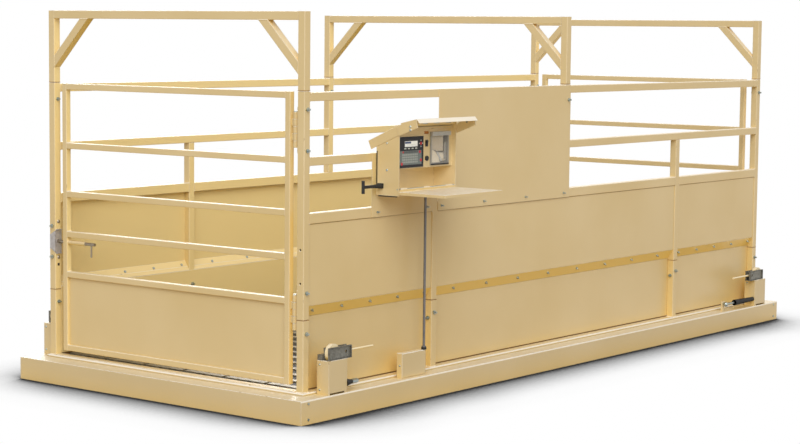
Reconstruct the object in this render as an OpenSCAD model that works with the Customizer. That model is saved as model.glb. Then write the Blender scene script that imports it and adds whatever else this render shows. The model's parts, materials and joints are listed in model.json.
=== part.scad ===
// Livestock weighing crate: base with load cells and corner locks, live platform, sheeted pen, two gates.
// X runs along the crate, Y across it (operator side at -Y), Z up from the floor. All sizes in millimetres.

/* [Base] */
// Base frame length along X
base_l = 5728; // [5600:1:6000]
// Base frame width along Y
base_w = 2370; // [2300:1:2500]
// Base beam height
base_h = 140; // [130:1:144]
// Side beam flange width
side_flange = 100; // [94:1:104]
// End beam flange width
end_flange = 129; // [115:1:135]
// Base beam wall thickness
beam_t = 6; // [4:0.5:8]
// Cross member width
cross_w = 80; // [60:1:100]
// Cross member height
cross_h = 40; // [30:1:44]
// Base end to the load cells
cell_in = 364; // [320:1:450]

/* [Platform] */
// Gap between the base and the live platform
platform_gap = 6; // [4:0.5:10]
// Platform edge tube width
edge_w = 60; // [50:1:70]
// Platform edge tube height
edge_h = 70; // [60:1:76]
// Height of the platform edge above the base
platform_rise = 15; // [12:1:25]
// Deck plate thickness
deck_t = 6; // [4:0.5:8]
// Step from the platform edge down to the deck
deck_drop = 9; // [9:0.5:14]
// Cleat pitch along the crate
cleat_pitch = 161.3; // [120:0.1:200]
// Cleat height
cleat_h = 8; // [4:0.5:8.5]
// Cleat width
cleat_w = 50; // [40:1:60]
// Cleats across the deck
cleat_count = 6; // [4:1:8]
// Gap between neighbouring cleats
cleat_gap = 26; // [15:1:40]

/* [Pen frame] */
// Square tube side of posts, rails and arches
tube = 50.8; // [47:0.1:52]
// Corner radius of the square tube
tube_r = 4; // [2:0.5:6]
// Base side edge to the outer face of the posts
side_inset = 118; // [114:1:122]
// Base end edge to the outer face of the corner posts
end_inset = 149; // [144:1:154]
// Place of the intermediate posts, as a share of the half-length
mid_share = 0.5477; // [0.5:0.001:0.56]
// Stub post height above the platform
stub_h = 420; // [380:1:460]
// Rack post height above the stub posts
post_h = 1315; // [1150:1:1450]
// Arch height above the rack posts
arch_rise = 452; // [380:1:540]
// Leg of the arch corner brace
brace = 305; // [250:1:340]
// Width of the joint line between two posts
seam = 3; // [1:0.5:4]
// Underside of the sheet rail above the stub posts
sheet_rail_up = 553; // [500:1:590]
// Sheet rail height
sheet_rail_h = 61; // [51:1:64]
// Middle rail above the sheet rail
mid_rail_up = 273; // [240:1:310]
// Top rail below the rack posts' tops
top_rail_down = 8; // [4:1:30]

/* [Side sheets] */
// Sheet thickness
sheet_t = 3; // [2:0.5:4]
// Sheet recess behind the tube face
sheet_recess = 6; // [3:0.5:12]
// Bottom edge of the upper sheet above the stub posts
sheet_up = 80; // [60:1:100]
// Inner edge of the sloped ledge above the stub posts
ledge_up = 12; // [5:1:25]
// Gap under the lower panel
panel_gap = 7; // [3:0.5:15]
// Ledge screw pitch in the long bay
screw_pitch_mid = 356; // [320:1:362]
// Ledge screw pitch in the short bays
screw_pitch_end = 266; // [240:1:275]

/* [Gates] */
// Gate tube side
gate_tube = 38; // [34:0.5:42]
// Gap between the gate and each post
gate_gap = 63; // [58:0.5:68]
// Gap under the gate
gate_clear = 35; // [25:1:55]
// Gap from the gate's top to the top of the rack posts
gate_head = 5; // [2:1:30]
// Tops of the four inner gate rails below the gate's top
gate_rail_down = [1188, 932, 678, 372];
// Hinge barrel radius
hinge_r = 17; // [14:0.5:19]
// Hinge pin radius
pin_r = 8; // [6:0.5:10]
// Hinge knuckle height
knuckle_h = 40; // [34:0.5:41]
// Latch rod below the top of the gate rail over it
latch_down = 72; // [69:1:80]
// Latch rod radius
rod_r = 9.5; // [7:0.5:11]
// Latch rod length
rod_l = 329; // [310:1:360]

/* [Enclosure] */
// Enclosure width
encl_w = 563; // [555:1:566]
// Enclosure depth
encl_d = 172; // [165:1:178]
// Enclosure underside above the sheet rail
encl_up = 73; // [60:1:90]
// Side wall height at the back
encl_back_h = 344; // [335:1:350]
// Side wall height at the front
encl_front_h = 420; // [412:1:428]
// Wall thickness
encl_t = 4; // [3:0.5:5]
// Shelf depth
shelf_d = 345; // [320:1:355]
// Lid depth
lid_d = 121; // [110:1:140]
// Lid angle above level when raised
lid_rise = 13; // [8:1:20]
// Strap latch length
strap_l = 165; // [150:1:180]

/* [Corner locks] */
// Lock housing length
lock_l = 165; // [155:1:180]
// Lock housing depth
lock_d = 90; // [86:1:94]
// Lock housing height
lock_h = 200; // [185:1:215]
// Bumper lock housing to the base end
lock_off = 245; // [235:1:260]
// Check rod lock housing to the base end
lock_off_rod = 198; // [190:1:215]
// Hub length
hub_l = 200; // [190:1:215]
// Hub height
hub_h = 74; // [70:1:80]
// Cam radius
cam_r = 54; // [48:0.5:56]
// Handle length from the pivot
handle_l = 371; // [330:1:380]
// Check rod boot length
boot_l = 295; // [260:1:310]
// Check rod boot radius
boot_r = 21; // [17:0.5:23]

/* [Hidden] */
$fn = 48;
weld = 0.3;
run_clear = 0.05;
half_l = base_l / 2;
half_w = base_w / 2;
post_x = half_l - end_inset - tube / 2;
post_y = half_w - side_inset - tube / 2;
rail_out = half_w - side_inset;
rail_in = rail_out - tube;
mid_off = mid_share * post_x;
cell_x = half_l - cell_in;
platform_top = base_h + platform_rise;
stub_top = platform_top + stub_h;
post_top = stub_top + post_h;
arch_top = post_top + arch_rise;
sheet_rail_z = stub_top + sheet_rail_up;
top_rail_top = post_top - top_rail_down;
sheet_bottom = stub_top + sheet_up;
ledge_low = stub_top + ledge_up;
panel_bottom = platform_top + panel_gap;
top_rail_z = top_rail_top - tube;
sheet_rail_top = sheet_rail_z + sheet_rail_h;
mid_rail_z = sheet_rail_top + mid_rail_up;
mid_rail_top = mid_rail_z + tube;
plat_x = half_l - end_flange - platform_gap;
plat_y = half_w - side_flange - platform_gap;
edge_z = platform_top - edge_h;
deck_top = platform_top - deck_drop;
deck_x = plat_x - edge_w - weld;
deck_y = plat_y - edge_w - weld;
joist_w = edge_w;
joist_count = 5;
joist_pitch = 2 * deck_x / (joist_count + 1);
cell_w = 38;
cell_l = 150;
cell_h = 28;
cell_foot_r = 15;
// Posts, joints and bolts
spigot_side = tube - 10;
spigot_clear = 0.4;
spigot_half = 130;
bolt_d = 12;
bolt_clear = 1;
bolt_af = 22;
bolt_head = 8;
bolt_tip = 14;
set_bolt_in = 24;
small_d = 8;
small_af = 14;
small_head = 5;
lower_bolt_z = stub_top - 80;
side_bolt_z = lower_bolt_z - 34;
arch_bolt_z = post_top - 105;
hinge_span = 118;
hinge_z = [lower_bolt_z + hinge_span, arch_bolt_z - hinge_span];
latch_z = post_top - gate_head - gate_rail_down[1] - latch_down;
spare_z = [latch_z - 95, latch_z + 100];
spare_r = 7;
spare_deep = 28;
base_bolt_off = 60;
base_bolt_z = [28, base_h - 20];
panel_bolt_off = [for (k = [0.959, 0.653, 0.336, 0.03]) k * mid_off];
plate_bolt_in = [13, 57];
// Side sheets
ledge_t = 3;
screw_r = 4;
screw_h = 8;
screw_tip = 8;
screw_af = 15;
screw_head_r = 9;
screw_at = 0.4;
lap_low = 0.62;
// Gates
gate_bottom = platform_top + gate_clear;
gate_top = post_top - gate_head;
gate_rails = [for (d = gate_rail_down) gate_top - d];
hinge_y = rail_in - gate_gap / 2;
gate_y = rail_in - gate_gap;
gate_in = gate_y - gate_tube - weld;
knuckle_step = knuckle_h + 1.25;
bracket_t = 6;
bracket_w = 40;
bracket_half = 133;
strap_t = 12;
gate_sheet_t = 3;
keeper_t = 4;
keeper_half = 70;
keeper_wrap = 45;
keeper_ear = 14;
keeper_bolt_off = 98;
keeper_hole = rod_r + 2.5;
rod_tip = rail_in - keeper_t - 3;
rod_travel = 40;
rod_pocket = rod_travel + 2;
handle_drop = 82;
handle_in = 32;
guide_in = 150;
guide_r = 14;
handle_rod_r = 5.5;
// Enclosure
encl_z = sheet_rail_top + encl_up;
encl_x1 = -mid_off - tube / 2 - weld;
encl_x0 = encl_x1 - encl_w;
plate_over = 39;
encl_b = -rail_out - sheet_t;
encl_f = encl_b - encl_d;
encl_slope = atan((encl_front_h - encl_back_h) / encl_d);
roof_over = 66;
roof_lip = 55;
roof_t = 3;
roof_gap = weld;
front_recess = 30;
board_up = 162;
board_z = encl_z + board_up;
board_face = encl_f + front_recess;
shelf_t = 3;
shelf_lip = 18;
shelf_clear = 3;
shelf_pin_y = encl_f + 12;
shelf_pin_z = encl_z + 40;
shelf_drop = 14;
shelf_over = 4.5;
small_pin_r = 4;
small_knuckle_r = 7;
lid_pin_y = encl_f - 14;
lid_pin_z = encl_z + encl_front_h + small_knuckle_r;
lid_t = 3;
lid_lip = 28;
lid_side = 4;
lid_flange_front = 52;
lid_flange_deep = 72;
lid_flange_back = 30;
lid_lip_out = 16;
lid_knuckle_l = 60;
lid_edge = 24;
ind_in = 16;
ind_x = encl_x0 + ind_in;
ind_w = 247;
ind_up = 2;
ind_z = board_z + ind_up;
ind_h = 184;
ind_out = 8;
ind_back = 60;
lcd_in = 54;
lcd_w = 135;
lcd_up = 124;
lcd_h = 43;
key_in = 18;
key_up = 17;
key_h = 84;
face_t = 1.5;
switch_gap = 40;
print_gap = 33;
switch_x = ind_x + ind_w + switch_gap;
switch_up = 141;
switch_z = board_z + switch_up;
switch_w = 26;
switch_h = 40;
switch_tip = 9;
plug_x = switch_x;
plug_up = 50;
plug_z = board_z + plug_up;
plug_r = 15;
catch_w = 46;
catch_h = 18;
catch_deep = 3;
catch_z = encl_z + encl_front_h - front_recess - 32;
plug_out = 8;
print_x = switch_x + print_gap;
print_edge = 45;
print_w = encl_x1 - print_edge - print_x;
print_up = 6;
print_z = board_z + print_up;
print_h = 212;
print_deep = 80;
print_wall = 8;
paper_r = 34;
anchor_in = 41;
anchor_y = -rail_out - anchor_in;
anchor_w = 36;
anchor_h = 15;
anchor_t = 14;
anchor_up = 57;
anchor_z = encl_z + anchor_up;
strap_h = 18;
strap_w = 10;
bar_h = 76;
bar_w = 14;
strap_pin_r = 5;
conduit_in = 400;
conduit_x = encl_x0 + conduit_in;
conduit_edge = 50;
conduit_y = -half_w + conduit_edge;
conduit_r = 8;
fitting_r = 13;
fitting_h = 22;
jbox_in = 174;
jbox_x0 = encl_x0 + jbox_in;
jbox_w = 234;
jbox_edge = 40;
jbox_d = 42;
jbox_h = 152;
jbox_lid = 3;
// Corner locks, drawn for the near front corner
lock_x = -half_l + lock_off;
rod_shift = lock_off_rod - lock_off;
hub_rod_in = 30;
lock_y = -half_w + 4;
lock_wall = 5;
lock_top = base_h + lock_h;
hub_d = 46;
hub_wall = 5;
hub_x = lock_x + 8;
hub_y = lock_y + 1;
pivot_x = lock_x + 63;
pivot_z = lock_top + hub_h / 2 + 2;
pivot_r = 8;
hub_lip = 9;
hub_web = hub_y + hub_lip;
cam_w = hub_d - hub_lip - 2 * hub_wall - 3;
cam_y = hub_web + (hub_d - hub_lip) / 2;
handle_r = 7;
slot_half = 56;
block_w = 44;
block_h = 32;
block_l = 70;
check_in = 22;
check_y = -half_w + check_in;
check_up = 53;
check_z = base_h + check_up;
check_r = 8;
check_boot = lock_x + lock_l + boot_l;
ball_r = 18;
eye_l = 130;
check_eye = check_boot + eye_l;
bumper_r = 25;
bumper_l = 62;
boot_tip_r = 15;
bumper_tip_r = 12;
nut_l = 50;
nut_af = 26;
stand_t = 12;
stand_gap = 2;

// Shared shapes
module block(x0, x1, y0, y1, z0, z1) {
    translate([x0, y0, z0])
        cube([x1 - x0, y1 - y0, z1 - z0]);
}

module profile(w, h) {
    union() {
        square([w - 2 * tube_r, h], center = true);
        square([w, h - 2 * tube_r], center = true);
        for (i = [-1, 1], j = [-1, 1])
            translate([i * (w / 2 - tube_r), j * (h / 2 - tube_r)])
                circle(tube_r);
    }
}

module bar_x(x0, x1, y, z, w, h) {
    translate([x0, y, z])
        rotate([90, 0, 90])
            linear_extrude(x1 - x0)
                profile(w, h);
}

module bar_y(y0, y1, x, z, w, h) {
    translate([x, y1, z])
        rotate([90, 0, 0])
            linear_extrude(y1 - y0)
                profile(w, h);
}

module bar_z(z0, z1, x, y, w, d) {
    translate([x, y, z0])
        linear_extrude(z1 - z0)
            profile(w, d);
}

// A plate of polygon outline in the YZ plane, from x0 to x1
module plate_x(x0, x1, pts) {
    translate([x0, 0, 0])
        rotate([90, 0, 90])
            linear_extrude(x1 - x0)
                polygon(pts);
}

module rod_x(x0, x1, y, z, r) {
    translate([x0, y, z])
        rotate([0, 90, 0])
            cylinder(r = r, h = x1 - x0);
}

module rod_y(y0, y1, x, z, r) {
    translate([x, y1, z])
        rotate([90, 0, 0])
            cylinder(r = r, h = y1 - y0);
}

module rod_z(z0, z1, x, y, r) {
    translate([x, y, z0])
        cylinder(r = r, h = z1 - z0);
}

module hex(af, h) {
    cylinder(d = af / cos(30), h = h, $fn = 6);
}

module both_sides() {
    children();
    mirror([0, 1, 0])
        children();
}

module both_ends() {
    children();
    mirror([1, 0, 0])
        children();
}

module both_gates() {
    children();
    rotate([0, 0, 180])
        children();
}

module four_corners() {
    both_sides()
        both_ends()
            children();
}

// Base
module base_side_beams() {
    color("tan")
        both_sides()
            union() {
                difference() {
                    block(-half_l, half_l, -half_w, -half_w + beam_t, 0, base_h);
                    for (s = [-1, 1], z = base_bolt_z)
                        rod_y(-half_w - 1, -half_w + beam_t + 1, s * (half_l - base_bolt_off), z,
                            (small_d + bolt_clear) / 2);
                }
                for (z = [0, base_h - beam_t])
                    block(-half_l + beam_t + weld, half_l - beam_t - weld, -half_w + beam_t + weld,
                        -half_w + side_flange, z, z + beam_t);
            }
}

module base_end_beams() {
    span = half_w - side_flange - weld;
    color("tan")
        both_ends()
            union() {
                block(-half_l, -half_l + beam_t, -half_w + beam_t + weld, half_w - beam_t - weld, 0, base_h);
                for (z = [0, base_h - beam_t])
                    block(-half_l + beam_t + weld, -half_l + end_flange, -span, span, z, z + beam_t);
            }
}

module base_cross_members() {
    span = half_w - side_flange - weld;
    color("tan")
        for (x = [-cell_x, -cell_x / 2, 0, cell_x / 2, cell_x])
            block(x - cross_w / 2, x + cross_w / 2, -span, span, 0, cross_h);
}

module load_cells() {
    foot_y = plat_y - edge_w / 2;
    color("silver")
        four_corners()
            union() {
                block(-cell_x - cell_w / 2, -cell_x + cell_w / 2, -foot_y - cell_l / 6,
                    -foot_y + cell_l * 5 / 6,
                    cross_h, cross_h + cell_h);
                rod_z(cross_h + cell_h - 1, edge_z, -cell_x, -foot_y, cell_foot_r);
            }
}

// Live platform
module platform_frame() {
    color("tan")
        union() {
            for (s = [-1, 1])
                block(-plat_x, plat_x, s < 0 ? -plat_y : plat_y - edge_w, s < 0 ? -plat_y + edge_w : plat_y,
                    edge_z, platform_top);
            for (s = [-1, 1])
                block(s < 0 ? -plat_x : plat_x - edge_w, s < 0 ? -plat_x + edge_w : plat_x, -deck_y, deck_y,
                    edge_z, platform_top);
            for (i = [1 : joist_count])
                block(-deck_x + i * joist_pitch - joist_w / 2, -deck_x + i * joist_pitch + joist_w / 2,
                    -deck_y,
                    deck_y, edge_z, deck_top - deck_t);
        }
}

module deck_plate() {
    color("dimgray")
        block(-deck_x, deck_x, -deck_y, deck_y, deck_top - deck_t, deck_top);
}

module deck_cleats() {
    rows = floor((2 * deck_x - cleat_w - 80) / cleat_pitch) + 1;
    reach = deck_y - cleat_gap / 2;
    len = (2 * reach - (cleat_count - 1) * cleat_gap) / cleat_count;
    color("tan")
        for (i = [0 : rows - 1], j = [0 : cleat_count - 1])
            translate([(i - (rows - 1) / 2) * cleat_pitch - cleat_w / 2, -reach + j * (len + cleat_gap),
                deck_top])
                cube([cleat_w, len, cleat_h]);
}

module threshold_strips() {
    strip = 5;
    color("tan")
        both_ends()
            block(-plat_x + 2, -plat_x + edge_w - 2, -rail_in + bracket_t + 2, rail_in - bracket_t - 2,
                platform_top, platform_top + strip);
}

// Posts and their joints
module socket(x, y, z0, z1) {
    s = spigot_side / 2 + spigot_clear;
    block(x - s, x + s, y - s, y + s, z0, z1);
}

module cross_hole(x, y, z, r) {
    rod_y(y - tube / 2 - 1, y + tube / 2 + 1, x, z, r);
}

module stub_posts() {
    r = (bolt_d + bolt_clear) / 2;
    color("tan")
        for (x = [-post_x, -mid_off, mid_off, post_x], y = [-post_y, post_y])
            difference() {
                bar_z(platform_top, stub_top - seam / 2, x, y, tube, tube);
                socket(x, y, stub_top - spigot_half - 2, stub_top + 1);
                cross_hole(x, y, lower_bolt_z, r);
                if (abs(x) < post_x)
                    rod_x(x - tube / 2 - 1, x, y, side_bolt_z, r);
            }
}

module post_spigots() {
    s = spigot_side / 2;
    r = (bolt_d + bolt_clear) / 2;
    color("dimgray")
        for (y = [-post_y, post_y]) {
            for (x = [-post_x, -mid_off, mid_off, post_x])
                difference() {
                    block(x - s, x + s, y - s, y + s, stub_top - spigot_half, stub_top + spigot_half);
                    cross_hole(x, y, lower_bolt_z, r);
                }
            for (x = [-post_x, 0, post_x])
                difference() {
                    block(x - s, x + s, y - s, y + s, post_top - spigot_half, post_top + spigot_half);
                    cross_hole(x, y, arch_bolt_z, r);
                }
        }
}

// Post with the gate hinge: near front, and far rear half a turn round
module hinge_post() {
    r = (bolt_d + bolt_clear) / 2;
    difference() {
        bar_z(stub_top + seam / 2, post_top - seam / 2, -post_x, -post_y, tube, tube);
        socket(-post_x, -post_y, stub_top - 1, stub_top + spigot_half + 2);
        socket(-post_x, -post_y, post_top - spigot_half - 2, post_top + 1);
        for (z = [arch_bolt_z, hinge_z[1] - hinge_span, hinge_z[0] + hinge_span])
            cross_hole(-post_x, -post_y, z, r);
        for (z = spare_z)
            rod_x(-post_x - tube / 2 - 1, -post_x - tube / 2 + spare_deep, -post_y, z, spare_r);
    }
}

// Post with the latch keeper: far front, and near rear half a turn round
module latch_post() {
    r = (bolt_d + bolt_clear) / 2;
    difference() {
        bar_z(stub_top + seam / 2, post_top - seam / 2, -post_x, post_y, tube, tube);
        socket(-post_x, post_y, stub_top - 1, stub_top + spigot_half + 2);
        socket(-post_x, post_y, post_top - spigot_half - 2, post_top + 1);
        cross_hole(-post_x, post_y, arch_bolt_z, r);
        rod_y(rail_in - 1, rail_in + rod_pocket, -post_x, latch_z, keeper_hole);
        for (z = [latch_z - keeper_bolt_off, latch_z + keeper_bolt_off])
            rod_x(-post_x - tube / 2 - 1, -post_x - tube / 2 + set_bolt_in + 1, post_y, z, r);
    }
}

module rack_posts() {
    r = (bolt_d + bolt_clear) / 2;
    color("tan")
        union() {
            both_gates() {
                hinge_post();
                latch_post();
            }
            for (x = [-mid_off, mid_off], y = [-post_y, post_y])
                difference() {
                    bar_z(stub_top + seam / 2, mid_rail_z - weld, x, y, tube, tube);
                    socket(x, y, stub_top - 1, stub_top + spigot_half + 2);
                }
            for (y = [-post_y, post_y])
                difference() {
                    bar_z(sheet_rail_top + weld, post_top - seam / 2, 0, y, tube, tube);
                    socket(0, y, post_top - spigot_half - 2, post_top + 1);
                    cross_hole(0, y, arch_bolt_z, r);
                }
        }
}

module side_rails() {
    e = tube / 2 + weld;
    for (b = [[-post_x, -mid_off], [-mid_off, mid_off], [mid_off, post_x]])
        bar_x(b[0] + e, b[1] - e, -post_y, sheet_rail_z + sheet_rail_h / 2, tube, sheet_rail_h);
    for (b = [[-post_x, 0], [0, post_x]], z = [mid_rail_z, top_rail_z])
        bar_x(b[0] + e, b[1] - e, -post_y, z + tube / 2, tube, tube);
}

// Bolt places along the near sheet rail, for the operator panel and the instrument back plate
function panel_bolts() = [for (x = panel_bolt_off) -x];
function plate_bolts() = [encl_x0 + plate_bolt_in[0], encl_x1 - plate_bolt_in[1]];

module rack_rails() {
    color("tan")
        union() {
            difference() {
                side_rails();
                for (x = concat(panel_bolts(), plate_bolts()))
                    rod_y(-rail_out - 1, -rail_out + set_bolt_in + 1, x, sheet_rail_z + sheet_rail_h / 2,
                        (small_d + bolt_clear) / 2);
            }
            mirror([0, 1, 0])
                side_rails();
        }
}

// Side sheets
module upper_sheets() {
    e = tube / 2 + weld;
    y = -rail_out + sheet_recess;
    color("tan")
        both_sides()
            for (b = [[-post_x, -mid_off], [-mid_off, mid_off], [mid_off, post_x]])
                block(b[0] + e, b[1] - e, y, y + sheet_t, sheet_bottom, sheet_rail_z - weld);
}

module ledge_strips() {
    e = tube / 2 + weld;
    y = -rail_out + sheet_recess;
    top = sheet_bottom - weld;
    color("tan")
        both_sides()
            for (b = [[-post_x, -mid_off], [-mid_off, mid_off], [mid_off, post_x]])
                plate_x(b[0] + e, b[1] - e, [[y, top], [y + ledge_t, top], [-rail_in, ledge_low + ledge_t],
                    [-rail_in, ledge_low]]);
}

module ledge_screw(x) {
    y = -rail_out + sheet_recess;
    dy = tube - sheet_recess;
    dz = sheet_bottom - weld - ledge_low;
    lap = ledge_t * dz / sqrt(dy * dy + dz * dz);
    translate([x, y + screw_at * dy, sheet_bottom - weld - screw_at * dz])
        rotate([90 + atan(dy / dz), 0, 0])
            union() {
                hex(screw_af, screw_h);
                cylinder(r = screw_r, h = screw_h + screw_tip);
                translate([0, 0, -lap - weld - screw_h / 2])
                    cylinder(r = screw_head_r, h = screw_h / 2);
            }
}

module ledge_screws() {
    n_mid = floor((2 * mid_off - tube - 4 * screw_af) / screw_pitch_mid);
    n_end = floor((post_x - mid_off - tube - 4 * screw_af) / screw_pitch_end);
    color("silver")
        both_sides()
            union() {
                for (i = [0 : n_mid])
                    ledge_screw((i - n_mid / 2) * screw_pitch_mid);
                for (s = [-1, 1], i = [0 : n_end])
                    ledge_screw(s * (post_x + mid_off) / 2 + (i - n_end / 2) * screw_pitch_end);
            }
}

module lower_panels() {
    reach = post_x - tube / 2 + 5;
    yp = -rail_in + weld;
    e = tube / 2 + weld;
    y = -rail_out + sheet_recess + ledge_t;
    dy = -rail_in - y;
    dz = sheet_bottom - weld - ledge_low - ledge_t;
    top = sheet_bottom;
    color("tan")
        both_sides()
            union() {
                difference() {
                    block(-reach, reach, yp, yp + sheet_t, panel_bottom, ledge_low + ledge_t);
                    for (x = [-mid_off, mid_off])
                        rod_y(yp - 1, yp + sheet_t + 1, x, lower_bolt_z, (bolt_d + bolt_clear) / 2);
                }
                for (b = [[-post_x, -mid_off], [-mid_off, mid_off], [mid_off, post_x]])
                    plate_x(b[0] + e, b[1] - e, [[y + lap_low * dy, top - lap_low * dz],
                        [y + lap_low * dy, top - lap_low * dz + sheet_t], [-rail_in,
                            ledge_low + ledge_t + weld + sheet_t],
                        [-rail_in, ledge_low + ledge_t + weld]]);
            }
}

module operator_panel() {
    r = (bolt_d + bolt_clear) / 2;
    color("tan")
        difference() {
            block(-mid_off + tube / 2 + 1, tube / 2, -rail_out - sheet_t, -rail_out, sheet_rail_z,
                top_rail_top);
            rod_y(-rail_out - sheet_t - 1, -rail_out + 1, 0, arch_bolt_z, r);
            for (x = panel_bolts())
                rod_y(-rail_out - sheet_t - 1, -rail_out + 1, x, sheet_rail_z + sheet_rail_h / 2,
                    (small_d + bolt_clear) / 2);
        }
}

// Plate behind the instrument enclosure, bolted to the sheet rail
module instrument_backplate() {
    color("tan")
        difference() {
            block(encl_x0 - plate_over, encl_x1, -rail_out - sheet_t, -rail_out, sheet_rail_z, mid_rail_top);
            for (x = plate_bolts())
                rod_y(-rail_out - sheet_t - 1, -rail_out + 1, x, sheet_rail_z + sheet_rail_h / 2,
                    (small_d + bolt_clear) / 2);
        }
}

// Tie arches
module arch(x) {
    r = (bolt_d + bolt_clear) / 2;
    zt = arch_top - tube - weld;
    w = tube * sqrt(2);
    color("tan")
        union() {
            for (y = [-post_y, post_y])
                difference() {
                    bar_z(post_top + seam / 2, arch_top, x, y, tube, tube);
                    socket(x, y, post_top - 1, post_top + spigot_half + 2);
                }
            bar_y(-rail_in + weld, rail_in - weld, x, arch_top - tube / 2, tube, tube);
            both_sides()
                plate_x(x - tube / 2, x + tube / 2, [[-rail_in + weld, zt - brace], [-rail_in + weld,
                    zt - brace + w],
                    [-rail_in + weld + brace - w, zt], [-rail_in + weld + brace, zt]]);
        }
}

module arch_front() {
    arch(-post_x);
}

module arch_middle() {
    arch(0);
}

module arch_rear() {
    arch(post_x);
}

// Through bolt along Y: nut and threaded tip on the dir side, head on the other
module cross_bolt(x, y, z, dir, plate_head, plate_nut) {
    translate([x, y, z])
        rotate([dir < 0 ? 90 : -90, 0, 0])
            union() {
                translate([0, 0, -tube / 2 - plate_head - bolt_head])
                    hex(bolt_af, bolt_head);
                translate([0, 0, -tube / 2 - plate_head - 1])
                    cylinder(d = bolt_d, h = tube + plate_head + plate_nut + bolt_head + bolt_tip + 1);
                translate([0, 0, tube / 2 + plate_nut])
                    hex(bolt_af, bolt_head);
            }
}

// Set bolt standing out of a face at the origin, along +Z
module set_bolt(d, af, head, deep) {
    union() {
        hex(af, head);
        translate([0, 0, -deep])
            cylinder(d = d, h = deep + head + bolt_tip);
    }
}

module frame_bolts() {
    mid = sheet_rail_z + sheet_rail_h / 2;
    color("silver")
        union() {
            cross_bolt(-post_x, -post_y, lower_bolt_z, -1, bracket_t, 0);
            cross_bolt(post_x, -post_y, lower_bolt_z, -1, 0, 0);
            cross_bolt(-post_x, post_y, lower_bolt_z, -1, 0, 0);
            for (x = [-mid_off, mid_off]) {
                cross_bolt(x, -post_y, lower_bolt_z, -1, sheet_t + weld, 0);
                cross_bolt(x, post_y, lower_bolt_z, -1, 0, sheet_t + weld);
            }
            cross_bolt(post_x, post_y, lower_bolt_z, 1, bracket_t, 0);
            for (x = [-post_x, 0, post_x])
                cross_bolt(x, -post_y, arch_bolt_z, -1, x == -post_x ? bracket_t : 0, x == 0 ? sheet_t : 0);
            for (x = [-post_x, 0])
                cross_bolt(x, post_y, arch_bolt_z, -1, 0, 0);
            cross_bolt(post_x, post_y, arch_bolt_z, 1, bracket_t, 0);
            both_gates() {
                for (z = [hinge_z[1] - hinge_span, hinge_z[0] + hinge_span])
                    cross_bolt(-post_x, -post_y, z, -1, bracket_t, 0);
                for (z = [latch_z - keeper_bolt_off, latch_z + keeper_bolt_off])
                    translate([-post_x - tube / 2, post_y, z])
                        rotate([0, -90, 0])
                            set_bolt(bolt_d, bolt_af, bolt_head, set_bolt_in);
            }
            for (x = [-mid_off, mid_off], y = [-post_y, post_y])
                translate([x - tube / 2, y, side_bolt_z])
                    rotate([0, -90, 0])
                        set_bolt(bolt_d, bolt_af, bolt_head, (tube - spigot_side) / 2 - 0.5);
            for (x = concat(panel_bolts(), plate_bolts()))
                translate([x, -rail_out - sheet_t, mid])
                    rotate([90, 0, 0])
                        set_bolt(small_d, small_af, small_head, set_bolt_in);
            both_sides()
                for (s = [-1, 1], z = base_bolt_z)
                    translate([s * (half_l - base_bolt_off), -half_w, z])
                        rotate([90, 0, 0])
                            union() {
                                hex(small_af, small_head);
                                translate([0, 0, -beam_t])
                                    cylinder(d = small_d, h = beam_t + 1);
                            }
        }
}

// Gates, drawn for the front end and turned half round for the rear
module gate_frame() {
    s = gate_tube / 2;
    color("tan")
        union() {
            bar_z(gate_bottom, gate_top, -post_x, -gate_y + s, gate_tube, gate_tube);
            difference() {
                bar_z(gate_bottom, gate_top, -post_x, gate_y - s, gate_tube, gate_tube);
                rod_y(gate_y - gate_tube - 1, gate_y + 1, -post_x, latch_z, rod_r + 0.5);
            }
            for (z = [gate_bottom + gate_tube, gate_rails[0], gate_rails[1], gate_rails[2], gate_rails[3],
                gate_top])
                bar_y(-gate_in, gate_in, -post_x, z - s, gate_tube, gate_tube);
            difference() {
                rod_y(gate_in - guide_in, gate_in, -post_x, latch_z, guide_r);
                rod_y(gate_in - guide_in - 1, gate_in + 1, -post_x, latch_z, rod_r + 0.5);
            }
        }
}

module gate_sheet() {
    color("tan")
        block(-post_x - gate_sheet_t / 2, -post_x + gate_sheet_t / 2, -gate_in, gate_in,
            gate_bottom + gate_tube + weld, gate_rails[0] - gate_tube - weld);
}

module knuckle(z) {
    rod_z(z, z + knuckle_h, -post_x, -hinge_y, hinge_r);
}

module gate_knuckles() {
    color("tan")
        for (h = hinge_z, i = [-1, 1])
            difference() {
                union() {
                    knuckle(h + i * knuckle_step - knuckle_h / 2);
                    block(-post_x - strap_t / 2, -post_x + strap_t / 2, -hinge_y, -gate_y,
                        h + i * knuckle_step - knuckle_h / 2, h + i * knuckle_step + knuckle_h / 2);
                }
                rod_z(h + i * knuckle_step - knuckle_h, h + i * knuckle_step + knuckle_h, -post_x, -hinge_y,
                    pin_r + run_clear);
            }
}

module hinge_bracket(h) {
    r = (bolt_d + bolt_clear) / 2;
    difference() {
        union() {
            block(-post_x - bracket_w / 2, -post_x + bracket_w / 2, -rail_in, -rail_in + bracket_t,
                h - bracket_half, h + bracket_half);
            for (i = [-2, 0, 2]) {
                knuckle(h + i * knuckle_step - knuckle_h / 2);
                block(-post_x - strap_t / 2, -post_x + strap_t / 2, -rail_in, -hinge_y,
                    h + i * knuckle_step - knuckle_h / 2, h + i * knuckle_step + knuckle_h / 2);
            }
        }
        rod_z(h - bracket_half, h + bracket_half, -post_x, -hinge_y, pin_r + run_clear);
        for (s = [-1, 1])
            rod_y(-rail_in - 1, -rail_in + bracket_t + 1, -post_x, h + s * hinge_span, r);
    }
}

module hinge_brackets() {
    color("tan")
        both_gates()
            for (h = hinge_z)
                hinge_bracket(h);
}

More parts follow.
